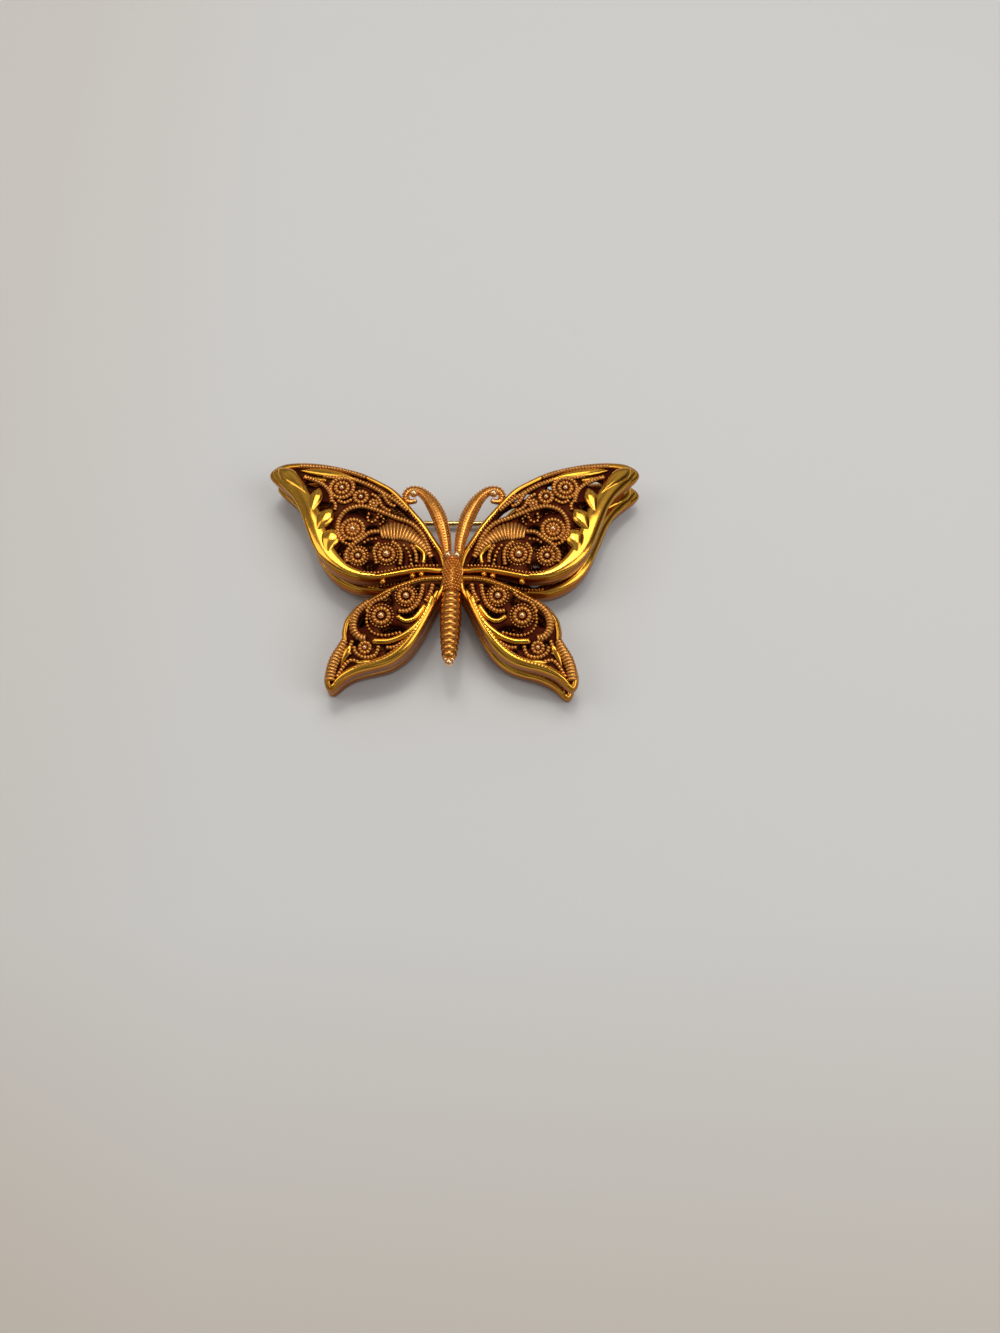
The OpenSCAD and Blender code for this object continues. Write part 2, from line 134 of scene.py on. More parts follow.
# Beads between a forewing and its hindwing: places in the casting, in millimetres
TIE_RADIUS = 0.42
TIE_PLACES = ((5.4, -2.2, 1.3), (4.2, -1.95, 1.3), (9.3, -3.1, 1.5))

# Painted light and shade: height over the panel at which metal is painted fully lit, groove value
# that keeps painted shade off a panel's back
PAINTED_LIT_HEIGHT = 0.34
UNDERSIDE = -4.0
UNDERSIDE_SHARE = 0.7

# Surfaces: repeats per metre of the uneven tone, the slow waviness and the pin's polish
TONE_SCALE = 420.0
TONE_SPREAD = 0.5
WAVE_SCALE = 520.0
POLISH_SCALE = 1500.0
PIN_COLOUR = (0.80, 0.56, 0.22, 1.0)
PIN_ROUGHNESS = (0.16, 0.36)

# Floor: half its width in metres, its finish and colours, then the painted shade, darker and
# warmer,
# towards two sides: axis, start and end in metres, share of the shaded colour at its end
FLOOR_SIZE = 1.5
FLOOR_ROUGHNESS = 0.85
FLOOR_SHINE = 0.2
FLOOR_PALE = (0.785, 0.785, 0.765, 1.0)
FLOOR_SHADED_WARM = (0.68, 0.60, 0.50, 1.0)
FLOOR_SIDES = (("X", -0.03, -0.07, 0.3), ("Y", -0.045, -0.1, 0.8))

# Room that the metal mirrors: colours, scale and stretch of its patches, height where they start
ROOM_STRENGTH = 0.42
ROOM_PLAIN = (0.42, 0.415, 0.40, 1.0)
ROOM_DARK = (0.10, 0.07, 0.06, 1.0)
ROOM_BRIGHT = (0.93, 0.96, 1.0, 1.0)
ROOM_SCALE = 1.9
ROOM_PATCHES = (0.4, 0.62)
ROOM_CLIMB = (0.22, 0.42)

# Lights: name, place, aim and size in metres, power in watts, tint
LIGHTS = (
    ("overhead", (0.03, 0.2, 0.5), (0.0, 0.02, 0.0), (0.36, 0.24), 0.84, (1.0, 0.98, 0.95)),
    ("key", (0.0, 0.13, 0.48), (0.0, 0.0, 0.0), (0.05, 0.05), 0.2, (1.0, 0.97, 0.93)),
    ("left_fill", (-0.33, 0.05, 0.4), (0.0, 0.0, 0.0), (0.2, 0.3), 0.34, (1.0, 0.93, 0.86)),
    ("right_window", (0.32, -0.1, 0.4), (0.0, 0.0, 0.0), (0.26, 0.34), 0.62, (0.97, 0.98, 1.0)),
)

# Camera: place in metres, tilt, sensor and focal length in millimetres, nearest distance in metres
CAMERA_PLACE = (0.00638, -0.05788, 0.12983)
CAMERA_TILT = math.radians(20.0)
SENSOR_WIDTH = 36.0
FOCAL_LENGTH = 36.1
CLIP_START = 0.005

Point = tuple[float, float]
Path = Sequence[Point]
Inputs = dict[str | int, object]
Mesh = bmesh.types.BMesh
Socket = bpy.types.NodeSocket


class Metal(Enum):
    """Kinds of metal surface on the brooch."""

    POLISHED = "polished"
    SATIN = "satin"
    PANEL = "panel"
    STIPPLED = "stippled"
    # Painted highlight: a lighter copy of the gold that stands in for the highlights on balls and
    # beads.
    PAINTED_HIGHLIGHT = "worn"


@dataclass(frozen=True)
class Finish:
    """Look of one metal surface.

    Attributes:
        bright: painted-lit colour of crests.
        dark: painted-shade colour of recesses.
        rough: roughness of crests and of recesses.
        grain: pattern repeats per metre of the fine surface.
        relief: depth of the fine surface in metres.
        wave: depth of the slow waviness in metres.
    """

    bright: tuple[float, float, float]
    dark: tuple[float, float, float]
    rough: tuple[float, float]
    grain: float
    relief: float
    wave: float = 0.0


# Bright and dark are painted light and painted shade of one metal.
FINISHES = {
    Metal.POLISHED: Finish(
        (0.85, 0.42, 0.05), (0.36, 0.105, 0.01), (0.16, 0.3), 2600, 2e-6, 2.4e-5
    ),
    Metal.SATIN: Finish((0.75, 0.32, 0.07), (0.12, 0.024, 0.006), (0.27, 0.55), 5200, 5e-6),
    # The panel's dark colours are painted shade of the recesses between the wires.
    Metal.PANEL: Finish((0.48, 0.18, 0.035), (0.052, 0.008, 0.0035), (0.42, 0.5), 4200, 2e-5),
    Metal.STIPPLED: Finish((0.71, 0.3, 0.06), (0.28, 0.07, 0.011), (0.26, 0.42), 4200, 5e-6),
    # Painted highlight metal of the balls, eyes and beads.
    Metal.PAINTED_HIGHLIGHT: Finish((0.96, 0.58, 0.27), (0.8, 0.38, 0.12), (0.27, 0.34), 4200, 2e-6),
}


# Curves and surfaces


def blend(a: Vector, b: Vector, c: Vector, d: Vector, t: float) -> Vector:
    """Returns the point between b and c of the smooth curve through four points."""
    bend = (2 * a - 5 * b + 4 * c - d) * t * t + (3 * b - a - 3 * c + d) * t ** 3
    return 0.5 * (2 * b + (c - a) * t + bend)


def smooth(points: Path, closed: bool = False) -> list[Vector]:
    """Makes a dense smooth curve through points.

    Args:
        points: points to pass through.
        closed: whether the curve returns to its start.

    Returns:
        The curve's points, in order.
    """
    p = [Vector((x, y)) for x, y in points]
    n = len(p)
    pick = (lambda k: p[k % n]) if closed else (lambda k: p[max(0, min(k, n - 1))])
    spans = n if closed else n - 1
    out = [
        blend(pick(i - 1), pick(i), pick(i + 1), pick(i + 2), k / CURVE_STEPS)
        for i in range(spans)
        for k in range(CURVE_STEPS)
    ]
    return out if closed else out + [p[-1]]


def even(
    points: Sequence[Vector], step: float, closed: bool = False, group: int = 1
) -> list[Vector]:
    """Spaces points evenly along a dense curve.

    Args:
        points: the dense curve.
        step: wanted distance between points.
        closed: whether the curve returns to its start.
        group: number that the count of steps is a multiple of.

    Returns:
        The spaced points; on an open curve, both ends are among them.
    """
    line = list(points) + ([points[0]] if closed else [])
    reach = [0.0]
    for a, b in zip(line, line[1:]):
        reach.append(reach[-1] + (b - a).length)
    count = max(2, group * round(reach[-1] / (step * group)))
    out, k = [], 0
    for i in range(count if closed else count + 1):
        goal = reach[-1] * i / count
        while k < len(line) - 2 and reach[k + 1] < goal:
            k += 1
        span = reach[k + 1] - reach[k] or 1.0
        out.append(line[k].lerp(line[k + 1], min(1.0, max(0.0, (goal - reach[k]) / span))))
    return out


def ring(
    centre: Point, radius: float, start: float = 0.0, end: float = 360.0, step: float = 0.1
) -> list[Vector]:
    """Makes an arc, or a full ring without its double end.

    Args:
        centre: its middle.
        radius: its radius.
        start: angle in degrees where it starts.
        end: angle in degrees where it ends.
        step: wanted distance between points.

    Returns:
        Its points, in order.
    """
    count = max(8, round(abs(math.radians(end - start)) * radius / step))
    full = abs(end - start) >= 360.0
    return [
        Vector(centre) + radius * Vector((math.cos(a), math.sin(a)))
        for k in range(count if full else count + 1)
        for a in [math.radians(start + (end - start) * k / count)]
    ]


def oval(centre: Point, half: Point, turn: float) -> list[Vector]:
    """Makes the outline of a turned oval.

    Args:
        centre: its middle.
        half: half its length and half its width.
        turn: its turn in degrees.

    Returns:
        Its points, in order.
    """
    spin = Matrix.Rotation(math.radians(turn), 2)
    return [
        Vector(centre) + spin @ Vector((half[0] * math.cos(a), half[1] * math.sin(a)))
        for a in (2 * math.pi * k / OVAL_POINTS for k in range(OVAL_POINTS))
    ]


def between(values: Sequence[float], share: float) -> float:
    """Reads a row of values at a share of its length.

    Args:
        values: the row.
        share: 0 at its first value and 1 at its last.

    Returns:
        The value there.
    """
    place = min(max(share, 0.0) * (len(values) - 1), len(values) - 1.001)
    k = int(place)
    return values[k] + (values[k + 1] - values[k]) * (place - k)


@dataclass(frozen=True)
class Dome:
    """Part of a sphere that a wing's panel follows.

    Attributes:
        centre: place of its highest point in the wing's plane.
    """

    centre: Vector

    def top(self, p: Vector) -> float:
        """Returns the height of the panel's face above the rim's lower edge."""
        d = (Vector((p.x, p.y)) - self.centre).length
        return WING_HEIGHT - DOME_RADIUS + math.sqrt(DOME_RADIUS ** 2 - d * d)

    def lift(self, p: Vector, height: float) -> Vector:
        """Returns the point that stands that height above the panel."""
        return Vector((p.x, p.y, self.top(p) + height))


# Shells


def shell_heap(parts: Iterable[Mesh], into: Mesh | None = None) -> Mesh:
    """Joins closed shells into one mesh with a groove layer.

    Args:
        parts: the shells, freed here.
        into: mesh that takes them, or nothing for a new one.

    Returns:
        The mesh that holds them.
    """
    heap = into or bmesh.new()
    if not heap.verts.layers.float.get("groove"):
        heap.verts.layers.float.new("groove")
    for part in parts:
        mesh = bpy.data.meshes.new("part")
        part.to_mesh(mesh)
        part.free()
        heap.from_mesh(mesh)
        bpy.data.meshes.remove(mesh)
    return heap


def frames_along(points: Sequence[Vector], closed: bool) -> list[Matrix]:
    """Sets a frame at each point of a path: x aside, y along, z up.

    Args:
        points: 3-D path.
        closed: whether the path returns to its start.

    Returns:
        The frames, one for each point.
    """
    n = len(points)
    out = []
    for i, p in enumerate(points):
        before = points[i - 1] if closed or i else p
        after = points[(i + 1) % n] if closed or i < n - 1 else p
        along = (after - before).normalized()
        aside = along.cross(UP).normalized()
        up = aside.cross(along)
        out.append(Matrix.Translation(p) @ Matrix((aside, along, up)).transposed().to_4x4())
    return out


def sweep(
    section: Path, frames: Sequence[Matrix], closed: bool, grooves: Sequence[float] = ()
) -> Mesh:
    """Carries a closed section along frames by extruding its edge loop.

    Args:
        section: points aside and up.
        frames: places of the section.
        closed: whether the last section joins the first.
        grooves: how deep in a groove each frame lies, 0 to 1, or nothing.

    Returns:
        A closed shell.
    """
    bm = bmesh.new()
    layer = bm.verts.layers.float.new("groove")
    verts = [bm.verts.new(frames[0] @ Vector((x, 0.0, z))) for x, z in section]
    for v in verts:
        v[layer] = grooves[0] if grooves else 0.0
    first = [bm.edges.new(pair) for pair in zip(verts, verts[1:] + verts[:1])]
    loop = first
    for k, (a, b) in enumerate(zip(frames, frames[1:]), 1):
        made = bmesh.ops.extrude_edge_only(bm, edges=loop)["geom"]
        moved = [g for g in made if isinstance(g, bmesh.types.BMVert)]
        loop = [g for g in made if isinstance(g, bmesh.types.BMEdge) and g.is_boundary]
        bmesh.ops.transform(bm, matrix=b @ a.inverted(), verts=moved)
        for v in moved:
            v[layer] = grooves[k] if grooves else 0.0
    if closed:
        bmesh.ops.bridge_loops(bm, edges=first + loop)
    else:
        bmesh.ops.holes_fill(bm, edges=first + loop, sides=0)
    bmesh.ops.recalc_face_normals(bm, faces=bm.faces[:])
    return bm


def round_section(sides: int) -> list[Point]:
    """Returns a round section of radius 1."""
    angles = (2 * math.pi * k / sides for k in range(sides))
    return [(math.cos(a), math.sin(a)) for a in angles]


def turned(line: Sequence[Vector], closed: bool, centre: Vector, axis: Vector) -> Mesh:
    """Turns a line once about an axis into a closed shell.

    Args:
        line: points from the axis back to it, or round a closed section.
        closed: whether the line is such a section.
        centre: point on the axis.
        axis: its direction.

    Returns:
        A closed shell.
    """
    bm = bmesh.new()
    verts = [bm.verts.new(p) for p in line]
    ends = verts[1:] + (verts[:1] if closed else [])
    bmesh.ops.spin(
        bm, geom=verts + [bm.edges.new(pair) for pair in zip(verts, ends)], cent=centre,
        axis=axis, angle=2 * math.pi, steps=DISC_SIDES if closed else BODY_SIDES,
        use_merge=True,
    )
    bmesh.ops.remove_doubles(bm, verts=bm.verts[:], dist=SEAM)
    bmesh.ops.recalc_face_normals(bm, faces=bm.faces[:])
    return bm


def ball(place: Vector, radius: float) -> Mesh:
    """Returns a ball."""
    return bead_row([place], radius, BALL_CUTS)


def bead_row(places: Iterable[Vector], radius: float, cuts: int = BEAD_CUTS) -> Mesh:
    """Makes a row of beads.

    Args:
        places: middle of each bead.
        radius: their radius.
        cuts: how finely each is cut.

    Returns:
        One mesh of loose shells.
    """
    bm = bmesh.new()
    for p in places:
        matrix = Matrix.Translation(p)
        bmesh.ops.create_icosphere(bm, subdivisions=cuts, radius=radius, matrix=matrix)
    return bm


def relief_plate(
    outline: Sequence[Vector],
    holes: Sequence[Sequence[Vector]],
    top: Callable[[Vector], float],
) -> Mesh:
    """Makes a pierced plate whose face follows a height and whose edges are rounded.

    Args:
        outline: outer loop.
        holes: loops cut through.
        top: height of the face at a point.

    Returns:
        A closed shell.
    """
    bm = bmesh.new()
    for loop in [outline, *holes]:
        verts = [bm.verts.new(p.to_3d()) for p in loop]
        for pair in zip(verts, verts[1:] + verts[:1]):
            bm.edges.new(pair)
    bmesh.ops.triangle_fill(bm, use_beauty=True, edges=bm.edges[:], normal=(0.0, 0.0, 1.0))
    for axis in (0, 1):
        low = min(v.co[axis] for v in bm.verts)
        high = max(v.co[axis] for v in bm.verts)
        normal = Vector((1.0, 0.0, 0.0)) if axis == 0 else Vector((0.0, 1.0, 0.0))
        for k in range(1, int((high - low) / PANEL_CELL) + 1):
            bmesh.ops.bisect_plane(
                bm, geom=bm.verts[:] + bm.edges[:] + bm.faces[:], dist=WELD,
                plane_co=normal * (low + (k - GRID_SHIFT) * PANEL_CELL), plane_no=normal,
            )
    border = [v for v in bm.verts if v.is_boundary]
    tree = kdtree.KDTree(len(border))
    for k, v in enumerate(border):
        tree.insert(v.co, k)
    tree.balance()
    width, depth = PANEL_EDGE
    for v in bm.verts:
        away = min(1.0, tree.find(v.co)[2] / width)
        v.co.z = top(v.co) - depth * (1.0 - away) ** 2
    made = bmesh.ops.extrude_face_region(bm, geom=bm.faces[:], use_keep_orig=True)["geom"]
    under = [g for g in made if isinstance(g, bmesh.types.BMVert)]
    bmesh.ops.translate(bm, vec=(0.0, 0.0, -PANEL_THICKNESS), verts=under)
    # A panel's back gets no painted recess shade.
    layer = bm.verts.layers.float.new("groove")
    for v in bm.verts:
        below = v.co.z < top(v.co) - UNDERSIDE_SHARE * PANEL_THICKNESS
        v[layer] = UNDERSIDE if below else 0.0
    bmesh.ops.recalc_face_normals(bm, faces=bm.faces[:])
    return bm


# Wings


@dataclass(frozen=True)
class Rosette:
    """Ring of twisted wire with a ball, on a wing.

    Attributes:
        place: middle of the rosette.
        rings: radii of its wire rings.
        ball: radius of its ball.
        beads: radii of its bead rings.
        wire: radius of its wire.
    """

    place: Point
    rings: tuple[float, ...]
    ball: float
    beads: tuple[float, ...] = ()
    wire: float = 0.36


@dataclass(frozen=True)
class Leaf:
    """Polished leaf that swells towards its tip.

    Attributes:
        axis: points from the leaf's foot to its tip.
        width: half width at its broadest.
        height: half height there.
    """

    axis: Path
    width: float
    height: float


@dataclass
class Wing:
    """One wing of a casting, right of the body, in millimetres.

    Attributes:
        place0: where the shares of the outline start.
        span: millimetres for a share of one along and across.
        outline: shares along and across.
        gaps: centre along and across, half length and half width as shares of the span
            across, turn in degrees.
        rosettes: rosettes on the panel.
        ropes: twisted wires as (points, radius).
        bars: smooth wires as (points, radius).
        grains: bead rows as (points, bead radius, spacing, height).
        bands: broad coils as (points, half widths, height of their middle).
        flange: middle line and half widths of the polished flange inside the rim.
        leaves: polished leaves on the flange or the panel.
        crescent: curved gap: centre, radius, half width, start and end in degrees.
        bend: backward turn about the wing's upper edge.
        dome: sphere that the panel follows.
    """

    place0: Point
    span: Point
    outline: Path
    gaps: Sequence[tuple[float, ...]]
    rosettes: Sequence[Rosette] = ()
    ropes: Sequence[tuple[Path, float]] = ()
    bars: Sequence[tuple[Path, float]] = ()
    grains: Sequence[tuple[Path, float, float, float]] = ()
    bands: Sequence[tuple[Path, tuple[float, ...], float]] = ()
    flange: tuple[Path, tuple[float, ...]] = ((), ())
    leaves: Sequence[Leaf] = ()
    crescent: tuple[Point, float, float, float, float] | None = None
    bend: float = 0.0
    dome: Dome = field(init=False)

    def __post_init__(self) -> None:
        """Sets the dome over the middle of the wing."""
        self.dome = Dome(self.at(DOME_SHARE))

    def at(self, share: Point) -> Vector:
        """Returns the place of shares along and across."""
        return Vector(p + size * part for p, size, part in zip(self.place0, self.span, share))

    def edge(self, step: float) -> list[Vector]:
        """Walks the outline clockwise.

        Args:
            step: wanted distance between points.

        Returns:
            Its evenly spaced points.
        """
        loop = even(smooth([self.at(s) for s in self.outline], True), step, True)
        area = sum(a.x * b.y - b.x * a.y for a, b in zip(loop, loop[1:] + loop[:1]))
        return loop if area < 0 else loop[::-1]

    def inner_edge(self, inset: float, step: float) -> list[Vector]:
        """Walks the outline moved inwards.

        Args:
            inset: how far it moves.
            step: wanted distance between points.

        Returns:
            Its points, clockwise.
        """
        loop = self.edge(step)
        n = len(loop)
        return [
            p + inset * Vector((d.y, -d.x))
            for i, p in enumerate(loop)
            for d in [(loop[(i + 2) % n] - loop[i - 2]).normalized()]
        ]

    def holes(self) -> list[list[Vector]]:
        """Draws the gaps of the panel.

        Returns:
            The outline of each gap.
        """
        size = abs(self.span[1])
        out = [oval(self.at(g[:2]), (g[2] * size, g[3] * size), g[4]) for g in self.gaps]
        if self.crescent:
            centre, radius, half, start, end = self.crescent
            near = ring(centre, radius - half, start, end, CRESCENT_STEP)
            out.append(near + ring(centre, radius + half, start, end, CRESCENT_STEP)[::-1])
        return out

    def panel(self) -> Mesh:
        """Returns the pierced panel."""
        edge = self.inner_edge(PANEL_INSET, PANEL_STEP)
        return relief_plate(edge, self.holes(), self.dome.top)

    def rim(self) -> Mesh:
        """Makes the solid rim, whose section grows with the dome.

        Returns:
            A closed shell.
        """
        loop = self.edge(RIM_STEP)
        n = len(loop)
        frames = []
        for i, p in enumerate(loop):
            along = (loop[(i + 1) % n] - loop[i - 1]).normalized()
            out = Vector((-along.y, along.x, 0.0))
            high = Vector((0.0, 0.0, self.dome.top(p) + RIM_RISE))
            base = Matrix((out, along.to_3d(), high)).transposed().to_4x4()
            frames.append(Matrix.Translation((p.x, p.y, 0.0)) @ base)
        return sweep(RIM_SECTION, frames, True)

    def strip(
        self,
        points: Sequence[Vector],
        halves: Sequence[float],
        height: float,
        lift: float,
        swells: Sequence[Point] = SMOOTH,
        closed: bool = False,
    ) -> Mesh:
        """Makes a rounded strip laid on the panel.

        Args:
            points: its middle line.
            halves: half widths along it.
            height: half height where it is broadest.
            lift: height of its middle over the panel.
            swells: shares of width and height along one turn of a coil.
            closed: whether it returns to its start.

        Returns:
            A closed shell.
        """
        step = COIL_PITCH / len(swells) if len(swells) > 1 else STRIP_STEP
        path = [self.dome.lift(p, lift) for p in even(points, step, closed, len(swells))]
        widest = max(halves)
        frames = []
        for k, f in enumerate(frames_along(path, closed)):
            half = between(halves, k / (len(path) - 1))
            wide, high = swells[k % len(swells)]
            tall = height * high * math.sqrt(half / widest)
            frames.append(f @ Matrix.Diagonal((half * wide, 1.0, tall, 1.0)))
        heights = [swells[k % len(swells)][1] for k in range(len(frames))]
        # Painted shade between the coil's turns.
        grooves = [COIL_GROOVE_SHADE * (1.0 - high) for high in heights]
        sides = BROAD_SIDES if widest > BROAD else NARROW_SIDES
        return sweep(round_section(sides), frames, closed, grooves)

    def coil(self, points: Sequence[Vector], radius: float, closed: bool = False) -> Mesh:
        """Returns one coiled wire laid on the panel."""
        halves, lift = (radius, radius), radius * COIL_LIFT
        return self.strip(points, halves, radius, lift, COIL_SWELLS, closed)

    def smooth_work(self) -> list[Mesh]:
        """Makes the polished flange with its leaves and smooth wires.

        Returns:
            Closed shells.
        """
        line, halves = self.flange
        parts = [self.strip(smooth(line), halves, FLANGE_HEIGHT, FLANGE_LIFT)]
        for leaf in self.leaves:
            shape = [leaf.width * share for share in LEAF_SHAPE]
            lift = FLANGE_LIFT + LEAF_LIFT
            parts.append(self.strip(smooth(leaf.axis), shape, leaf.height, lift))
        for points, radius in self.bars:
            lift = radius * BAR_LIFT
            parts.append(self.strip(smooth(points), (radius, radius), radius, lift))
            for end in (points[0], points[-1]):
                parts.append(ball(self.dome.lift(Vector(end), lift), radius * BAR_END))
        return parts

    def filigree(self) -> Iterable[Mesh]:
        """Makes the coiled wires, rings, bands and bead rows on the panel.

        Yields:
            Closed shells, one at a time.
        """
        for points, radius in self.ropes:
            yield self.coil(smooth(points), radius)
        for r in self.rosettes:
            for radius in r.rings:
                yield self.coil(ring(r.place, radius), r.wire, True)
            for radius in r.beads:
                spots = even(ring(r.place, radius), BEAD_SPACING, True)
                yield bead_row([self.dome.lift(p, BEAD_LIFT) for p in spots], BEAD_RADIUS)
        for points, radius, spacing, height in self.grains:
            spots = even(smooth(points), spacing)
            yield bead_row([self.dome.lift(p, height) for p in spots], radius)
        for points, halves, lift in self.bands:
            yield self.strip(smooth(points), halves, BAND_HEIGHT, lift, COIL_SWELLS)

    def balls(self) -> list[Mesh]:
        """Makes the balls in the middle of the rosettes.

        Returns:
            Closed shells.
        """
        return [
            ball(self.dome.lift(Vector(r.place), r.ball * BALL_LIFT), r.ball)
            for r in self.rosettes
        ]

    def seat(self) -> Matrix:
        """Returns the bend about the wing's upper edge."""
        hinge = Matrix.Translation((0.0, -HIND_DROP, 0.0))
        return hinge @ Matrix.Rotation(self.bend, 4, "X") @ hinge.inverted()


FOREWING = Wing(
    place0=(0.9, -3.0),
    span=(24.6, 17.8),
    outline=(
        (0, 0.09), (0.005, 0.22), (0.06, 0.345), (0.118, 0.47), (0.183, 0.58), (0.285, 0.745),
        (0.37, 0.825), (0.488, 0.912), (0.6, 0.962), (0.715, 1.005), (0.837, 1.03), (0.946, 1.025),
        (1.012, 0.965), (1, 0.89), (0.9, 0.765), (0.848, 0.685), (0.82, 0.595), (0.796, 0.5),
        (0.768, 0.41), (0.736, 0.292), (0.68, 0.169), (0.61, 0.076), (0.533, 0.022), (0.455, 0),
        (0.37, 0.003), (0.248, 0.04), (0.138, 0.073),
    ),
    gaps=(
        (0.348, 0.494, 0.024, 0.024, 0), (0.268, 0.556, 0.105, 0.036, 37),
        (0.341, 0.697, 0.084, 0.034, 25), (0.512, 0.787, 0.037, 0.031, 0),
        (0.752, 0.837, 0.079, 0.045, -8), (0.703, 0.612, 0.067, 0.031, -10),
        (0.663, 0.421, 0.053, 0.034, 90), (0.411, 0.393, 0.051, 0.042, 0),
        (0.431, 0.264, 0.053, 0.034, 0), (0.569, 0.236, 0.056, 0.034, 105),
        (0.415, 0.107, 0.051, 0.031, 0), (0.255, 0.18, 0.073, 0.03, 85),
        (0.172, 0.18, 0.062, 0.022, 115), (0.093, 0.191, 0.085, 0.026, 46),
        (0.2, 0.43, 0.06, 0.018, 40),
    ),
    rosettes=(
        Rosette((13.56, 4.1), (1.45, 0.75), 0.46),
        Rosette((8.9, 0.55), (0.95,), 0.52, (1.5,)),
        Rosette((12.7, 9.1), (0.85,), 0.36),
        Rosette((15.4, 10.6), (1.6, 0.85), 0.38),
        Rosette((12.7, 0.25), (0.85,), 0.38, (1.32,)),
        Rosette((10.9, 8.1), (0.5,), 0.24, (), 0.28),
    ),
    ropes=(
        (((3.1, 1.2), (4.2, 3.65), (5.7, 5.2), (7.9, 6.0), (9.6, 6.7), (10.9, 7.2), (12.7, 7.6),
          (14.5, 7.0), (15.5, 5.4), (15.5, 3.4), (14.6, 2.3)), 0.4),
        (((6.2, 7.1), (8.0, 8.6), (9.8, 9.8), (11.4, 10.8), (13.0, 11.6), (13.9, 12.0)), 0.38),
        (((9.9, 3.8), (11.2, 3.65), (12.3, 2.75), (13.4, 1.9), (14.3, 0.6), (14.1, -0.7)), 0.38),
        (((16.6, 8.2), (17.0, 9.9), (18.0, 11.2), (19.4, 12.1), (20.9, 12.8)), 0.36),
        (((7.1, -0.95), (6.95, 0.5), (7.3, 1.7), (8.3, 2.4)), 0.32),
        (((7.9, 7.7), (8.8, 8.1), (9.4, 9.0), (9.9, 9.9)), 0.32),
        (((15.9, 8.6), (14.9, 8.2), (13.9, 8.7)), 0.3),
        (((16.2, 7.0), (16.1, 7.9), (16.6, 8.6)), 0.3),
        (((8.5, 6.9), (9.7, 7.6), (10.3, 8.9), (11.3, 9.6)), 0.3),
        (((4.9, -0.5), (5.0, 0.9), (5.7, 2.1)), 0.3),
        (((15.6, 12.3), (17.0, 12.4), (18.2, 12.75)), 0.3),
        (((9.9, 2.2), (10.6, 1.2), (10.4, 0.1), (10.2, -0.9)), 0.28),
    ),
    bars=(
        (((3.95, -0.3), (3.9, 0.9), (4.95, 1.9)), 0.3),
        (((17.9, 11.95), (19.2, 12.3), (20.6, 12.6)), 0.26),
    ),
    grains=(
        (((6.6, 1.9), (6.1, 1.2), (5.7, 0.2), (5.55, -0.7)), 0.3, 0.56, 0.14),
        (((15.6, 3.2), (14.9, 2.2), (13.9, 1.7)), 0.28, 0.5, 0.5),
        (((10.3, 5.9), (10.8, 5.2), (11.6, 5.5), (11.5, 6.4)), 0.28, 0.55, 0.15),
        (((11.9, 2.2), (11.3, 2.6), (10.4, 2.7)), 0.26, 0.5, 0.15),
        (((2.1, -0.75), (3.2, -0.85), (5.0, -1.05), (6.8, -1.4), (8.6, -1.9), (10.4, -2.2),
          (12.2, -2.1)), 0.22, 0.46, 0.44),
        (((2.5, 1.9), (3.7, 3.9), (5.3, 6.0), (6.8, 7.9), (8.4, 9.4)), 0.2, 0.44, 0.36),
        (((10.2, 6.4), (9.4, 5.6), (9.9, 4.9)), 0.22, 0.5, 0.15),
    ),
    bands=(
        (((2.8, 0.5), (4.0, 2.0), (5.3, 3.1), (6.8, 3.85), (8.3, 3.95), (9.9, 3.6)),
         (0.4, 0.6, 0.9, 1.25, 1.45, 0.9), 0.1),
        (((12.2, 12.15), (14.3, 13.05), (16.2, 13.65), (18.1, 14.05), (20.0, 14.35), (21.6, 14.6)),
         (0.32, 0.36), 0.3),
    ),
    flange=(
        ((25.2, 14.3), (24.2, 13.3), (22.2, 11.5), (20.9, 9.5), (19.85, 7.6), (19.1, 5.8),
         (18.5, 4.2), (17.8, 2.4), (16.6, 0.5), (14.9, -1.1), (13.2, -2.0), (11.6, -2.35),
         (10.2, -2.4)),
        (0.55, 1.15, 1.4, 1.2, 1.2, 1.3, 1.3, 1.25, 1.2, 0.95, 0.7, 0.55, 0.3),
    ),
    leaves=(
        Leaf(((20.3, 9.8), (22.4, 12.3), (24.8, 14.6)), 1.2, 0.6),
        Leaf(((19.5, 6.2), (19.1, 8.1), (18.5, 10.6)), 0.95, 0.5),
        Leaf(((18.6, 3.4), (17.8, 5.1), (16.6, 7.2)), 1.15, 0.52),
        Leaf(((16.7, 0.3), (16.7, 1.9), (16.1, 4.1)), 1.35, 0.54),
        Leaf(((11.9, 11.0), (15.0, 12.45), (18.3, 13.3), (21.5, 13.9)), 0.62, 0.26),
    ),
    crescent=((13.7, 4.4), 2.75, 0.42, 82.0, 146.0),
)

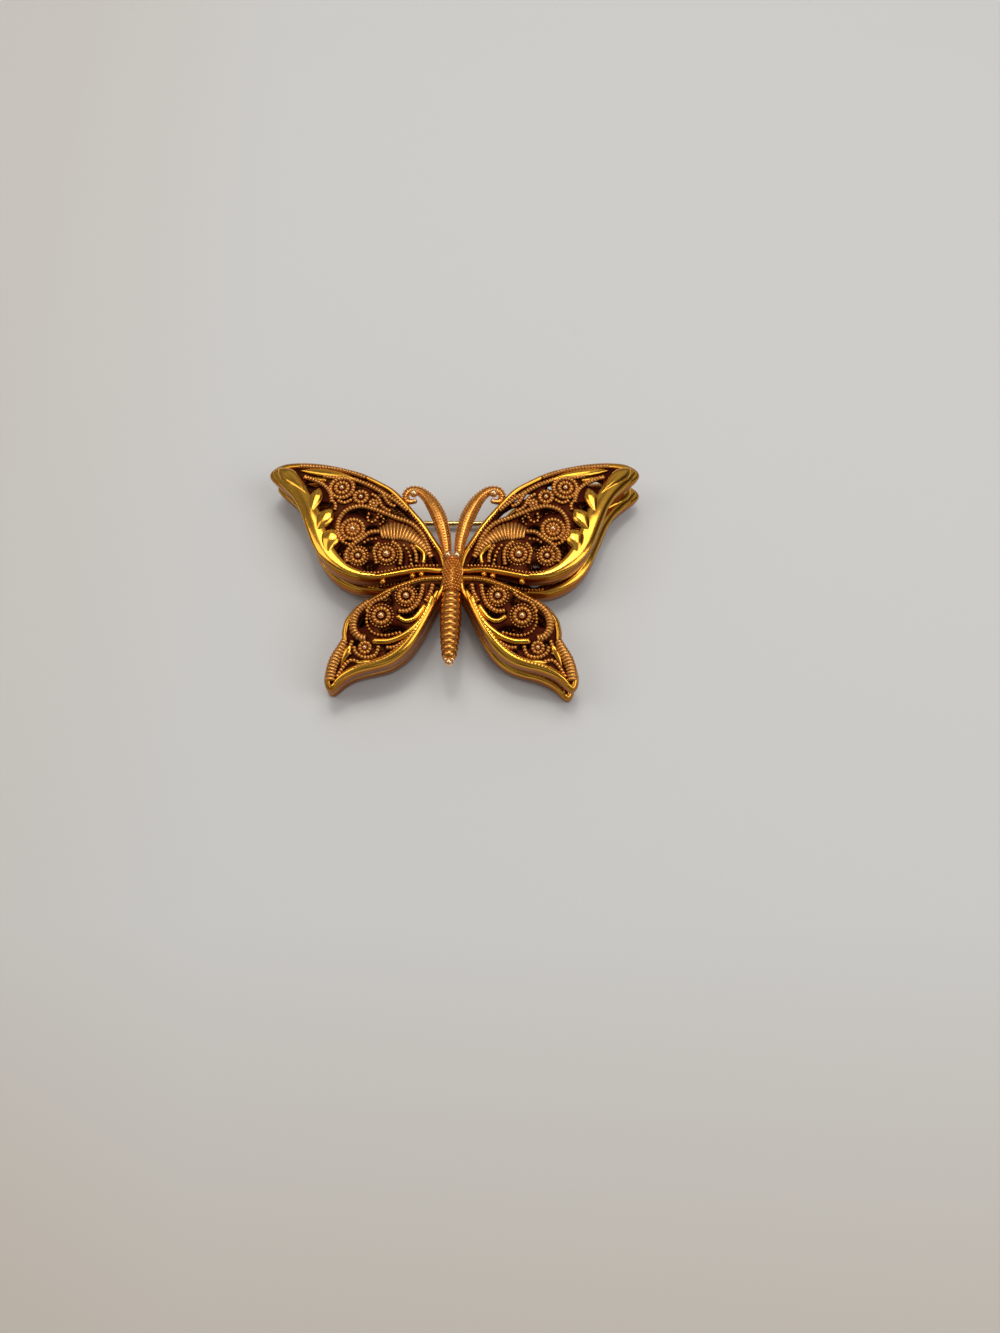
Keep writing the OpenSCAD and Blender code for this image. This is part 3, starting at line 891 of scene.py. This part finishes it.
HINDWING = Wing(
    place0=(0.9, -2.1),
    span=(15.8, -15.8),
    outline=(
        (0, 0.003), (0.133, 0), (0.228, 0.016), (0.348, 0.057), (0.487, 0.12), (0.595, 0.184),
        (0.69, 0.24), (0.753, 0.285), (0.804, 0.342), (0.842, 0.405), (0.861, 0.494),
        (0.861, 0.563), (0.886, 0.62), (0.93, 0.684), (0.962, 0.747), (0.987, 0.816), (1, 0.892),
        (0.987, 0.962), (0.949, 1), (0.905, 0.975), (0.842, 0.918), (0.766, 0.873), (0.677, 0.842),
        (0.57, 0.816), (0.468, 0.785), (0.373, 0.728), (0.297, 0.658), (0.234, 0.57),
        (0.177, 0.468), (0.127, 0.367), (0.076, 0.26), (0.025, 0.171), (0, 0.12),
    ),
    gaps=(
        (0.234, 0.161, 0.073, 0.038, 90), (0.089, 0.108, 0.041, 0.032, 0),
        (0.481, 0.228, 0.047, 0.032, 45), (0.304, 0.335, 0.089, 0.038, -5),
        (0.677, 0.399, 0.073, 0.032, -51), (0.43, 0.494, 0.108, 0.035, 5),
        (0.551, 0.627, 0.051, 0.028, 20), (0.741, 0.62, 0.051, 0.028, 0),
        (0.443, 0.674, 0.044, 0.018, -20), (0.848, 0.722, 0.054, 0.018, -50),
    ),
    rosettes=(
        Rosette((6.1, -5.1), (0.95,), 0.45, (1.42,), 0.36),
        Rosette((9.3, -7.9), (1.0,), 0.48, (1.55,), 0.38),
        Rosette((11.35, -12.2), (0.68,), 0.34, (), 0.32),
    ),
    ropes=(
        (((3.9, -3.4), (4.1, -4.8), (4.7, -6.3), (5.9, -7.2), (7.1, -7.2)), 0.36),
        (((9.5, -11.95), (10.0, -13.2), (11.4, -13.5), (12.5, -12.9), (12.8, -12.0)), 0.32),
        (((2.6, -3.3), (2.9, -4.6), (3.6, -5.9)), 0.34),
        (((8.2, -4.6), (9.0, -5.4), (10.4, -6.0), (11.3, -7.4)), 0.32),
        (((12.1, -14.1), (13.3, -13.9), (14.3, -14.9), (15.0, -16.1)), 0.3),
        (((13.0, -11.2), (13.4, -12.4), (13.3, -13.2)), 0.32),
        (((5.6, -10.9), (7.4, -12.1), (8.6, -12.2)), 0.3),
    ),
    bars=(
        (((2.7, -5.4), (3.3, -7.0), (4.4, -8.9), (6.2, -10.5), (8.1, -11.35), (10.0, -11.4)),
         0.42),
        (((3.7, -6.6), (4.9, -8.2), (6.1, -8.6), (7.0, -8.1)), 0.34),
    ),
    grains=(
        (((6.8, -10.2), (8.9, -10.6), (10.5, -10.1), (11.2, -8.8), (11.1, -7.4)), 0.27, 0.5, 0.2),
        (((1.8, -2.6), (3.0, -2.6), (4.4, -2.85), (6.2, -3.45), (8.4, -4.45), (10.0, -5.4),
          (11.5, -6.35), (12.6, -7.3), (13.4, -8.5)), 0.22, 0.46, 0.42),
        (((3.0, -6.2), (3.8, -7.9), (4.8, -9.7), (6.1, -11.4), (7.7, -12.8), (9.4, -13.8),
          (11.0, -14.35), (12.6, -14.85)), 0.2, 0.46, 0.5),
    ),
    bands=(
        (((10.9, -5.9), (12.2, -7.0), (12.9, -8.3), (12.9, -9.7), (12.2, -10.7), (11.2, -11.0)),
         (0.5, 0.6, 0.55), 0.2),
        (((14.0, -11.2), (14.6, -12.4), (15.2, -13.6), (15.7, -15.0), (15.9, -16.5)),
         (0.5, 0.8, 0.7), 0.3),
    ),
    leaves=(
        Leaf(((14.5, -14.7), (14.0, -13.4), (13.2, -11.8)), 0.5, 0.28),
        Leaf(((8.4, -13.6), (10.4, -14.2), (12.6, -14.2)), 0.42, 0.24),
    ),
    flange=(
        ((1.9, -4.3), (2.75, -6.1), (3.6, -7.8), (4.4, -9.3), (5.3, -10.8), (6.25, -12.05),
         (7.4, -13.1), (8.7, -13.85), (10.2, -14.35), (11.8, -14.75), (13.3, -15.35),
         (14.5, -16.1), (15.3, -16.9)),
        (0.3, 0.5, 0.6, 0.65, 0.7, 0.72, 0.72, 0.72, 0.68, 0.62, 0.55, 0.45, 0.3),
    ),
    bend=HIND_BEND,
)


# Body, antennae and rivet


# Abdomen: radius at its start and fall towards the tail, in millimetres
GIRTH_START = 0.97
GIRTH_FALL = 1.3

# Abdomen ring: share of its length, swell in millimetres; then the groove between two rings:
# most swell that counts as groove, how much painted shade it gets, stretch of the abdomen that has
# grooves
RING_SHAPE = ((0.0, 0.0), (0.14, 0.19), (0.34, 0.25), (0.66, 0.25), (0.86, 0.19))
RING_FOOT = 0.05
RING_GROOVE_SHADE = 0.8
RING_REACH = (-0.01, 0.99)

# Closing of the turned body behind the last ring: radius, distance past the ring, in millimetres
TAIL_END = ((0.5, 0.2), (0.0, 0.25))

# Granules of the thorax: rows and granules in one; first row, distance of rows and radius in
# millimetres; first angle, turn from one to the next and last angle in degrees
GRANULE_ROWS = 12
GRANULES_A_ROW = 9
GRANULE_START = -0.1
GRANULE_STEP = 0.4
GRANULE_RADIUS = 0.22
GRANULE_ANGLES = (6, 22, 176)

# Eyes: places beside, along and over the axis, and radii; the same for the tail's beads
EYES = ((-0.6, 0.25, 1.0, 0.55), (0.6, 0.25, 1.0, 0.55))
TAIL = ((0.0, -14.75, 0.15, 0.56), (-0.42, -14.4, 0.15, 0.36), (0.42, -14.4, 0.15, 0.36))

# Antenna: sides of its tube, its height as a share of its width; then its granules: angles in
# degrees taken in turn, share of the length that they cover, radius in millimetres
FEELER_SIDES = 20
FEELER_FLAT = 0.8
FEELER_ANGLES = (25, 58, 90, 122, 155)
FEELER_SHARE = 0.93
FEELER_GRAIN = 0.15


@dataclass(frozen=True)
class Body:
    """Thorax with its granules, ringed abdomen, eyes and tail beads.

    Attributes:
        thorax: place along the body and radius of the thorax.
        rings: number of rings on the abdomen.
        abdomen: where the abdomen starts and ends along the body.
    """

    thorax: Path = (
        (0.5, 0.0), (0.4, 0.5), (0.0, 0.8), (-0.6, 1.05), (-1.8, 1.2), (-3.4, 1.16),
        (-4.6, 0.98),
    )
    rings: int = 11
    abdomen: Point = (-4.9, -14.2)

    def girth(self, share: float) -> float:
        """Returns the abdomen's radius at a share of its length."""
        return GIRTH_START + share - GIRTH_FALL * share * share

    def profile(self) -> list[Vector]:
        """Draws the half outline of the turned body.

        Returns:
            Its points: radius, place along the body.
        """
        line = [Vector((r, y)) for y, r in self.thorax]
        start, end = self.abdomen
        for i in range(self.rings):
            for part, swell in RING_SHAPE:
                share = (i + part) / self.rings
                radius = self.girth(share) + swell
                line.append(Vector((radius, start + (end - start) * share)))
        return line + [Vector((radius, end - past)) for radius, past in TAIL_END]

    def core(self) -> Mesh:
        """Makes the turned body, with painted shade in the grooves between its rings.

        Returns:
            A closed shell.
        """
        line = [p.to_3d() for p in self.profile()]
        bm = turned(line, False, Vector(), Vector((0.0, 1.0, 0.0)))
        layer = bm.verts.layers.float.new("groove")
        start, end = self.abdomen
        first, last = RING_REACH
        for v in bm.verts:
            share = (v.co.y - start) / (end - start)
            low = math.hypot(v.co.x, v.co.z) < self.girth(share) + RING_FOOT
            v[layer] = RING_GROOVE_SHADE if low and first < share < last else 0.0
        return bm

    def granules(self) -> Mesh:
        """Makes the granules that cover the thorax's upper half.

        Returns:
            One mesh of loose shells.
        """
        places = []
        first, turn, last = GRANULE_ANGLES
        for row in range(GRANULE_ROWS):
            y = GRANULE_START - row * GRANULE_STEP
            radius = next(
                r0 + (r1 - r0) * (y - y0) / (y1 - y0)
                for (y0, r0), (y1, r1) in zip(self.thorax, self.thorax[1:])
                if y0 > y1 and y1 <= y <= y0
            )
            for k in range(GRANULES_A_ROW):
                a = math.radians(first + turn * (k + (row % 2) / 2))
                if a < math.radians(last):
                    places.append(Vector((radius * math.cos(a), y, radius * math.sin(a))))
        return bead_row(places, GRANULE_RADIUS, GRANULE_CUTS)

    def balls(self) -> list[Mesh]:
        """Returns the eyes and the beads of the tail around the body's axis."""
        return [ball(Vector(place), radius) for *place, radius in (*EYES, *TAIL)]


@dataclass(frozen=True)
class Antenna:
    """Feeler that runs up from the head and curls outwards, with beads inside the curl.

    Attributes:
        path: its middle line from the head.
        radii: its half widths along it.
        beads: places in and over the plane of the curl, and radii, of its beads.
    """

    path: Path = (
        (0.75, -0.1), (0.95, 2.3), (1.5, 4.9), (2.3, 7.2), (3.5, 9.3), (4.8, 10.5),
        (6.1, 10.6), (6.7, 9.7), (6.2, 8.9), (5.4, 9.0),
    )
    radii: tuple[float, ...] = (0.5, 0.66, 0.84, 0.98, 1.02, 0.94, 0.74, 0.56, 0.44, 0.36)
    beads: Sequence[tuple[float, ...]] = ((5.4, 9.0, 0.0, 0.38), (5.5, 9.9, 0.55, 0.58))

    def shells(self) -> list[Mesh]:
        """Makes the tapered tube and the granules on its upper side.

        Returns:
            The two meshes.
        """
        frames, grains = [], []
        path = even(smooth(self.path), STRIP_STEP)
        for i, f in enumerate(frames_along([p.to_3d() for p in path], False)):
            share = i / (len(path) - 1)
            r = between(self.radii, share)
            frames.append(f @ Matrix.Diagonal((r, r, FEELER_FLAT * r, 1.0)))
            for angle in FEELER_ANGLES[i % 2::2] if share < FEELER_SHARE else ():
                a = math.radians(angle)
                grains.append(frames[-1] @ Vector((math.cos(a), 0.0, math.sin(a))))
        tube = sweep(round_section(FEELER_SIDES), frames, False)
        return [tube, bead_row(grains, FEELER_GRAIN)]

    def balls(self) -> list[Mesh]:
        """Returns the beads of the curl."""
        return [ball(Vector(place), radius) for *place, radius in self.beads]


def disc(place: Point, radius: float, low: float, high: float) -> Mesh:
    """Makes a short upright cylinder with eased edges.

    Args:
        place: its axis.
        radius: its radius.
        low: height of its foot.
        high: height of its top.

    Returns:
        A closed shell.
    """
    bm = bmesh.new()
    bmesh.ops.create_cone(
        bm, cap_ends=True, segments=DISC_SIDES, radius1=radius, radius2=radius, depth=high - low,
        matrix=Matrix.Translation((place[0], place[1], (low + high) / 2)),
    )
    rims = [e for e in bm.edges if any(len(f.verts) > 4 for f in e.link_faces)]
    bmesh.ops.bevel(
        bm, geom=rims, offset=DISC_BEVEL, segments=2, profile=0.5, affect="EDGES", material=-1
    )
    return bm


def washer(place: Point, hole: float, radius: float, low: float, high: float) -> Mesh:
    """Turns a four-sided section into an upright ring.

    Args:
        place: its axis.
        hole: radius of its hole.
        radius: its radius.
        low: height of its foot.
        high: height of its top.

    Returns:
        A closed shell.
    """
    centre = Vector(place).to_3d()
    section = ((hole, low), (radius, low), (radius, high), (hole, high))
    return turned([centre + Vector((r, 0.0, z)) for r, z in section], True, centre, UP)


# Materials


class Nodes:
    """Shader nodes of a material or world, each linked as it is made.

    Attributes:
        owner: the material or world.
        tree: its node tree.
    """

    def __init__(self, owner: bpy.types.Material | bpy.types.World) -> None:
        """Starts the nodes of a material or world.

        Args:
            owner: the material or world.
        """
        owner.use_nodes = True
        self.owner = owner
        self.tree = owner.node_tree

    def fill(self, node: bpy.types.Node, inputs: Inputs) -> bpy.types.Node:
        """Sets a node's inputs.

        Args:
            node: the node.
            inputs: value of each input, or the socket that feeds it.

        Returns:
            The same node.
        """
        for key, value in inputs.items():
            if isinstance(value, Socket):
                self.tree.links.new(value, node.inputs[key])
            else:
                node.inputs[key].default_value = value
        return node

    def add(
        self, kind: str, output: str, inputs: Inputs | None = None, **settings: object
    ) -> Socket:
        """Adds a node.

        Args:
            kind: its type, after the prefix that all have.
            output: the output to return.
            inputs: value or socket of each input.
            settings: its own settings.

        Returns:
            The named output.
        """
        node = self.tree.nodes.new("ShaderNode" + kind)
        for key, value in settings.items():
            setattr(node, key, value)
        return self.fill(node, inputs or {}).outputs[output]

    def noise(self, place: Socket, scale: float, detail: float) -> Socket:
        """Returns a noise of that scale and detail."""
        return self.add("TexNoise", "Fac", {"Vector": place, "Scale": scale, "Detail": detail})

    def bump(self, height: Socket, depth: float, **more: object) -> Socket:
        """Returns the normal of a relief, laid on the one in more, if any."""
        relief = {"Strength": 1.0, "Distance": depth, "Height": height, **more}
        return self.add("Bump", "Normal", relief)

    def mix(self, share: Socket, low: object, high: object) -> Socket:
        """Returns a mix of two colours."""
        return self.add("Mix", "Result", {"Factor": share, "A": low, "B": high}, data_type="RGBA")

    def spread(
        self, value: Socket, reach: Point, low: float = 0.0, high: float = 1.0
    ) -> Socket:
        """Maps the stretch that reach spans onto low to high, and stops there."""
        ends = {"From Min": reach[0], "From Max": reach[1], "To Min": low, "To Max": high}
        return self.add("MapRange", "Result", {"Value": value, **ends})

    def surface(self, **inputs: object) -> bpy.types.Material:
        """Sets the surface shader's inputs.

        Args:
            inputs: value or socket of each input, named with _ for a space.

        Returns:
            The material.
        """
        shader = self.tree.nodes["Principled BSDF"]
        self.fill(shader, {key.replace("_", " "): value for key, value in inputs.items()})
        return self.owner


def make_metal(name: str, finish: Finish) -> bpy.types.Material:
    """Builds a metal with painted light on its crests and painted shade in its recesses.

    Args:
        name: the material's name.
        finish: its look.

    Returns:
        The material.
    """
    nodes = Nodes(bpy.data.materials.new(name))
    place = nodes.add("TexCoord", "Object")
    # Painted light on crests and painted shade in recesses, plus a random tone.
    painted_light = nodes.add("Attribute", "Fac", attribute_name="painted_light")
    tone = {0: nodes.noise(place, TONE_SCALE, 3.0), 1: TONE_SPREAD, 2: -TONE_SPREAD / 2}
    shift = nodes.add("Math", "Value", tone, operation="MULTIPLY_ADD")
    worn = nodes.add("Math", "Value", {0: painted_light, 1: shift}, operation="ADD", use_clamp=True)
    waves = {}
    if finish.wave:
        waves["Normal"] = nodes.bump(nodes.noise(place, WAVE_SCALE, 1.0), finish.wave)
    return nodes.surface(
        Metallic=1.0,
        Base_Color=nodes.mix(worn, (*finish.dark, 1.0), (*finish.bright, 1.0)),
        Roughness=nodes.spread(worn, (0.0, 1.0), finish.rough[1], finish.rough[0]),
        Normal=nodes.bump(nodes.noise(place, finish.grain, 2.0), finish.relief, **waves),
    )


def make_floor_paint() -> bpy.types.Material:
    """Builds the plain pale paint of the floor, with painted shade, a little darker and warmer,
    towards its left and front.

    Returns:
        The material.
    """
    nodes = Nodes(bpy.data.materials.new("pale_floor"))
    place = {"Vector": nodes.add("TexCoord", "Object")}
    sides = [
        nodes.spread(nodes.add("SeparateXYZ", axis, place), (start, end), 0.0, most)
        for axis, start, end, most in FLOOR_SIDES
    ]
    # Painted shade: darker and warmer towards the left and front.
    floor_shade = nodes.add(
        "Math", "Value", dict(enumerate(sides)), operation="ADD", use_clamp=True
    )
    return nodes.surface(
        Roughness=FLOOR_ROUGHNESS,
        Specular_IOR_Level=FLOOR_SHINE,
        Base_Color=nodes.mix(floor_shade, FLOOR_PALE, FLOOR_SHADED_WARM),
    )


def make_room() -> None:
    """Sets the world: plain near the horizon, with patches higher up for the metal to mirror."""
    nodes = Nodes(bpy.data.worlds.new("soft_room"))
    way = nodes.add("TexCoord", "Generated")
    patches = nodes.spread(nodes.noise(way, ROOM_SCALE, 1.0), ROOM_PATCHES)
    room = nodes.mix(patches, ROOM_DARK, ROOM_BRIGHT)
    climb = nodes.spread(nodes.add("SeparateXYZ", "Z", {"Vector": way}), ROOM_CLIMB)
    colour = nodes.mix(climb, ROOM_PLAIN, room)
    shade = nodes.tree.nodes["Background"]
    nodes.fill(shade, {"Strength": ROOM_STRENGTH, "Color": colour})
    bpy.context.scene.world = nodes.owner


# Assembly


def add_object(name: str, data: bpy.types.ID) -> bpy.types.Object:
    """Puts an object into the scene.

    Args:
        name: its name.
        data: its mesh, light or camera.

    Returns:
        The object.
    """
    obj = bpy.data.objects.new(name, data)
    bpy.context.collection.objects.link(obj)
    return obj


def mesh_object(name: str, bm: Mesh, material: bpy.types.Material) -> bpy.types.Object:
    """Puts a mesh into the scene as an object.

    Args:
        name: its name.
        bm: its mesh, freed here.
        material: its material.

    Returns:
        The object.
    """
    mesh = bpy.data.meshes.new(name)
    bm.to_mesh(mesh)
    bm.free()
    mesh.materials.append(material)
    return add_object(name, mesh)


def both_halves(bm: Mesh) -> Mesh:
    """Adds the mirrored left half to shells right of the body.

    Args:
        bm: mesh of the right half, changed here.

    Returns:
        The same mesh with both halves.
    """
    everything = bm.verts[:] + bm.edges[:] + bm.faces[:]
    bmesh.ops.mirror(bm, geom=everything, axis="X", merge_dist=-1.0)
    bmesh.ops.recalc_face_normals(bm, faces=bm.faces[:])
    return bm


@dataclass(frozen=True)
class Casting:
    """One butterfly casting: its shells are made once, right of the body, and mirrored.

    Attributes:
        name: first part of the pieces' names.
        slot: the record's material slot; not used.
        seat: place of the casting in the brooch, in millimetres.
        materials: material of each metal.
        hind_shift: how far its hindwings sit further up, in millimetres.
    """

    name: str
    slot: str
    seat: Matrix
    materials: dict[Metal, bpy.types.Material]
    hind_shift: float = 0.0

    def piece(
        self, part: str, metal: Metal, bm: Mesh, worn: bool = False
    ) -> bpy.types.Object:
        """Turns a mesh in the casting's frame into a finished piece.

        Args:
            part: last part of its name.
            metal: its surface.
            bm: its mesh with a groove layer, freed here.
            worn: whether it is painted lit all over, with painted shade only in its grooves.

        Returns:
            The piece, riding on the frame.
        """
        bmesh.ops.transform(bm, matrix=Matrix.Scale(MM, 4) @ self.seat, verts=bm.verts[:])
        layers = bm.verts.layers.float
        # Painted lit all over, with painted shade only in the grooves.
        if worn:
            painted_light = layers.get("painted_light") or layers.new("painted_light")
            groove = layers["groove"]
            for v in bm.verts:
                v[painted_light] = 1.0 - v[groove]
        layers.remove(layers["groove"])
        for f in bm.faces:
            f.smooth = True
        obj = mesh_object(f"{self.name}_{part}", bm, self.materials[metal])
        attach(obj, "root")
        LOG.info("%s: %d faces", obj.name, len(obj.data.polygons))
        return obj

    def both_sides(self, parts: list[tuple[Wing, list[Mesh]]]) -> Mesh:
        """Joins the parts of the right wings, marks their painted light and shade, and mirrors
        them.

        Args:
            parts: pairs of a wing and its shells.

        Returns:
            One mesh.
        """
        heap = bmesh.new()
        for wing, shells in parts:
            joined = shell_heap(shells)
            # Painted light rises with the height over the panel; grooves get painted shade.
            layer = joined.verts.layers.float.new("painted_light")
            groove = joined.verts.layers.float["groove"]
            for v in joined.verts:
                height = v.co.z - wing.dome.top(v.co)
                v[layer] = max(0.0, min(1.0, height / PAINTED_LIT_HEIGHT - v[groove]))
            shift = Matrix.Translation((0.0, self.hind_shift if wing.bend else 0.0, 0.0))
            bmesh.ops.transform(joined, matrix=shift @ wing.seat(), verts=joined.verts[:])
            heap = shell_heap([joined], heap)
        return both_halves(heap)

    def wings(self) -> list[bpy.types.Object]:
        """Makes the panels, rims and filigree of the four wings.

        Returns:
            The pieces, the panels first.
        """
        pair = (FOREWING, HINDWING)
        panels = self.both_sides([(w, [w.panel()]) for w in pair])
        rims = self.both_sides([(w, [w.rim(), *w.smooth_work()]) for w in pair])
        wires = self.both_sides([(w, list(w.filigree())) for w in pair])
        balls = self.both_sides([(w, w.balls()) for w in pair])
        return [
            self.piece("panels", Metal.PANEL, panels),
            self.piece("rims", Metal.POLISHED, rims),
            self.piece("filigree", Metal.SATIN, wires),
            # The balls take the lighter metal, a painted highlight.
            self.piece("balls", Metal.PAINTED_HIGHLIGHT, balls, True),
        ]

    def ties(self) -> bpy.types.Object:
        """Makes the beads that tie a forewing to its hindwing."""
        heap = both_halves(shell_heap([ball(Vector(p), TIE_RADIUS) for p in TIE_PLACES]))
        return self.piece("ties", Metal.POLISHED, heap, True)


class FrontCasting(Casting):
    """Front casting, with body, antennae and the rivet's peg."""

    def build(self) -> None:
        """Makes all pieces in place of the frame's front butterfly."""
        pieces = self.wings()
        self.ties()
        body, feeler = Body(), Antenna()
        torso, dots = shell_heap([body.core(), body.granules()]), shell_heap(body.balls())
        feelers = both_halves(shell_heap(feeler.shells()))
        curls = both_halves(shell_heap(feeler.balls()))
        turn = Matrix.Rotation(BODY_TURN, 4, "Z")
        axis = Matrix.Translation((0.0, 0.0, BODY_AXIS))
        for part in (torso, dots):
            bmesh.ops.transform(part, matrix=turn, verts=part.verts[:])
        for part in (torso, dots, feelers, curls):
            bmesh.ops.transform(part, matrix=axis, verts=part.verts[:])
        self.piece("body", Metal.STIPPLED, torso, True)
        self.piece("antennae", Metal.STIPPLED, feelers, True)
        # The eyes and curl beads take the lighter metal, a painted highlight.
        self.piece("eyes", Metal.PAINTED_HIGHLIGHT, shell_heap([curls], dots), True)
        spot = (0.0, -PEG_DROP)
        back = BACK_Z - FRONT_Z
        low = back + PANEL_THICKNESS - SEAT_GAP
        mid = back + WING_HEIGHT - PANEL_THICKNESS + SEAT_GAP
        peg = [
            disc(spot, PEG_RADIUS, low - HEAD_THICKNESS / 2, BODY_AXIS),
            disc(spot, HEAD_RADIUS, low - HEAD_THICKNESS, low),
            disc(spot, HEAD_RADIUS, mid, BODY_AXIS),
        ]
        self.piece("peg", Metal.STIPPLED, shell_heap(peg), True)
        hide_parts("front_butterfly")


class BackCasting(Casting):
    """Back casting, with the boss that turns on the rivet."""

    def build(self) -> None:
        """Makes all pieces in place of the frame's back butterfly."""
        pieces = self.wings()
        self.ties()
        centre = (0.0, BACK_SLIP - PEG_DROP)
        top = WING_HEIGHT - PANEL_THICKNESS
        boss = washer(centre, PEG_RADIUS + PEG_CLEARANCE, BOSS_RADIUS, PANEL_THICKNESS, top)
        self.piece("boss", Metal.STIPPLED, shell_heap([boss]), True)
        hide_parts("back_butterfly")


def dress_pin() -> None:
    """Gives the frame's pin a drawn metal with faint uneven polish."""
    nodes = Nodes(bpy.data.materials.new("pin_brass"))
    polish = nodes.noise(nodes.add("TexCoord", "Object"), POLISH_SCALE, 2.0)
    rough = nodes.spread(polish, (0.0, 1.0), *PIN_ROUGHNESS)
    material = nodes.surface(Metallic=1.0, Base_Color=PIN_COLOUR, Roughness=rough)
    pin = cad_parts["pin_clasp"]
    pin.data.materials.clear()
    pin.data.materials.append(material)


def build_set() -> None:
    """Makes the floor, lights, world and camera."""
    bm = bmesh.new()
    bmesh.ops.create_grid(bm, x_segments=1, y_segments=1, size=FLOOR_SIZE)
    floor = mesh_object("floor", bm, make_floor_paint())

    make_room()
    bpy.context.scene.view_settings.view_transform = "Standard"

    for name, spot, aim, size, power, tint in LIGHTS:
        data = bpy.data.lights.new(name, "AREA")
        data.shape = "RECTANGLE"
        data.size, data.size_y = size
        data.energy = power
        data.color = tint
        lamp = add_object(name, data)
        lamp.location = spot
        lamp.rotation_euler = (Vector(aim) - Vector(spot)).to_track_quat("-Z", "Y").to_euler()

    lens = bpy.data.cameras.new("camera")
    lens.sensor_fit = "HORIZONTAL"
    lens.sensor_width = SENSOR_WIDTH
    lens.lens = FOCAL_LENGTH
    lens.clip_start = CLIP_START
    camera = add_object("camera", lens)
    camera.location = CAMERA_PLACE
    camera.rotation_euler = (CAMERA_TILT, 0.0, 0.0)
    bpy.context.scene.camera = camera


def main() -> None:
    """Builds the brooch and its set."""
    logging.basicConfig(level=logging.INFO, format="%(name)s: %(message)s")
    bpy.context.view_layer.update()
    materials = {
        metal: make_metal(f"{metal.value}_gold", finish) for metal, finish in FINISHES.items()
    }
    front = Matrix.Translation((0.0, THORAX_Y, FRONT_Z))
    back = (
        Matrix.Translation((0.0, THORAX_Y - PEG_DROP, BACK_Z))
        @ Matrix.Rotation(BACK_TURN, 4, "Z")
        @ Matrix.Translation((0.0, PEG_DROP - BACK_SLIP, 0.0))
    )
    FrontCasting("front", "gold_front", front, materials).build()
    BackCasting("back", "gold_back", back, materials, HIND_SHIFT).build()
    dress_pin()
    build_set()


if __name__ == "__main__":
    main()
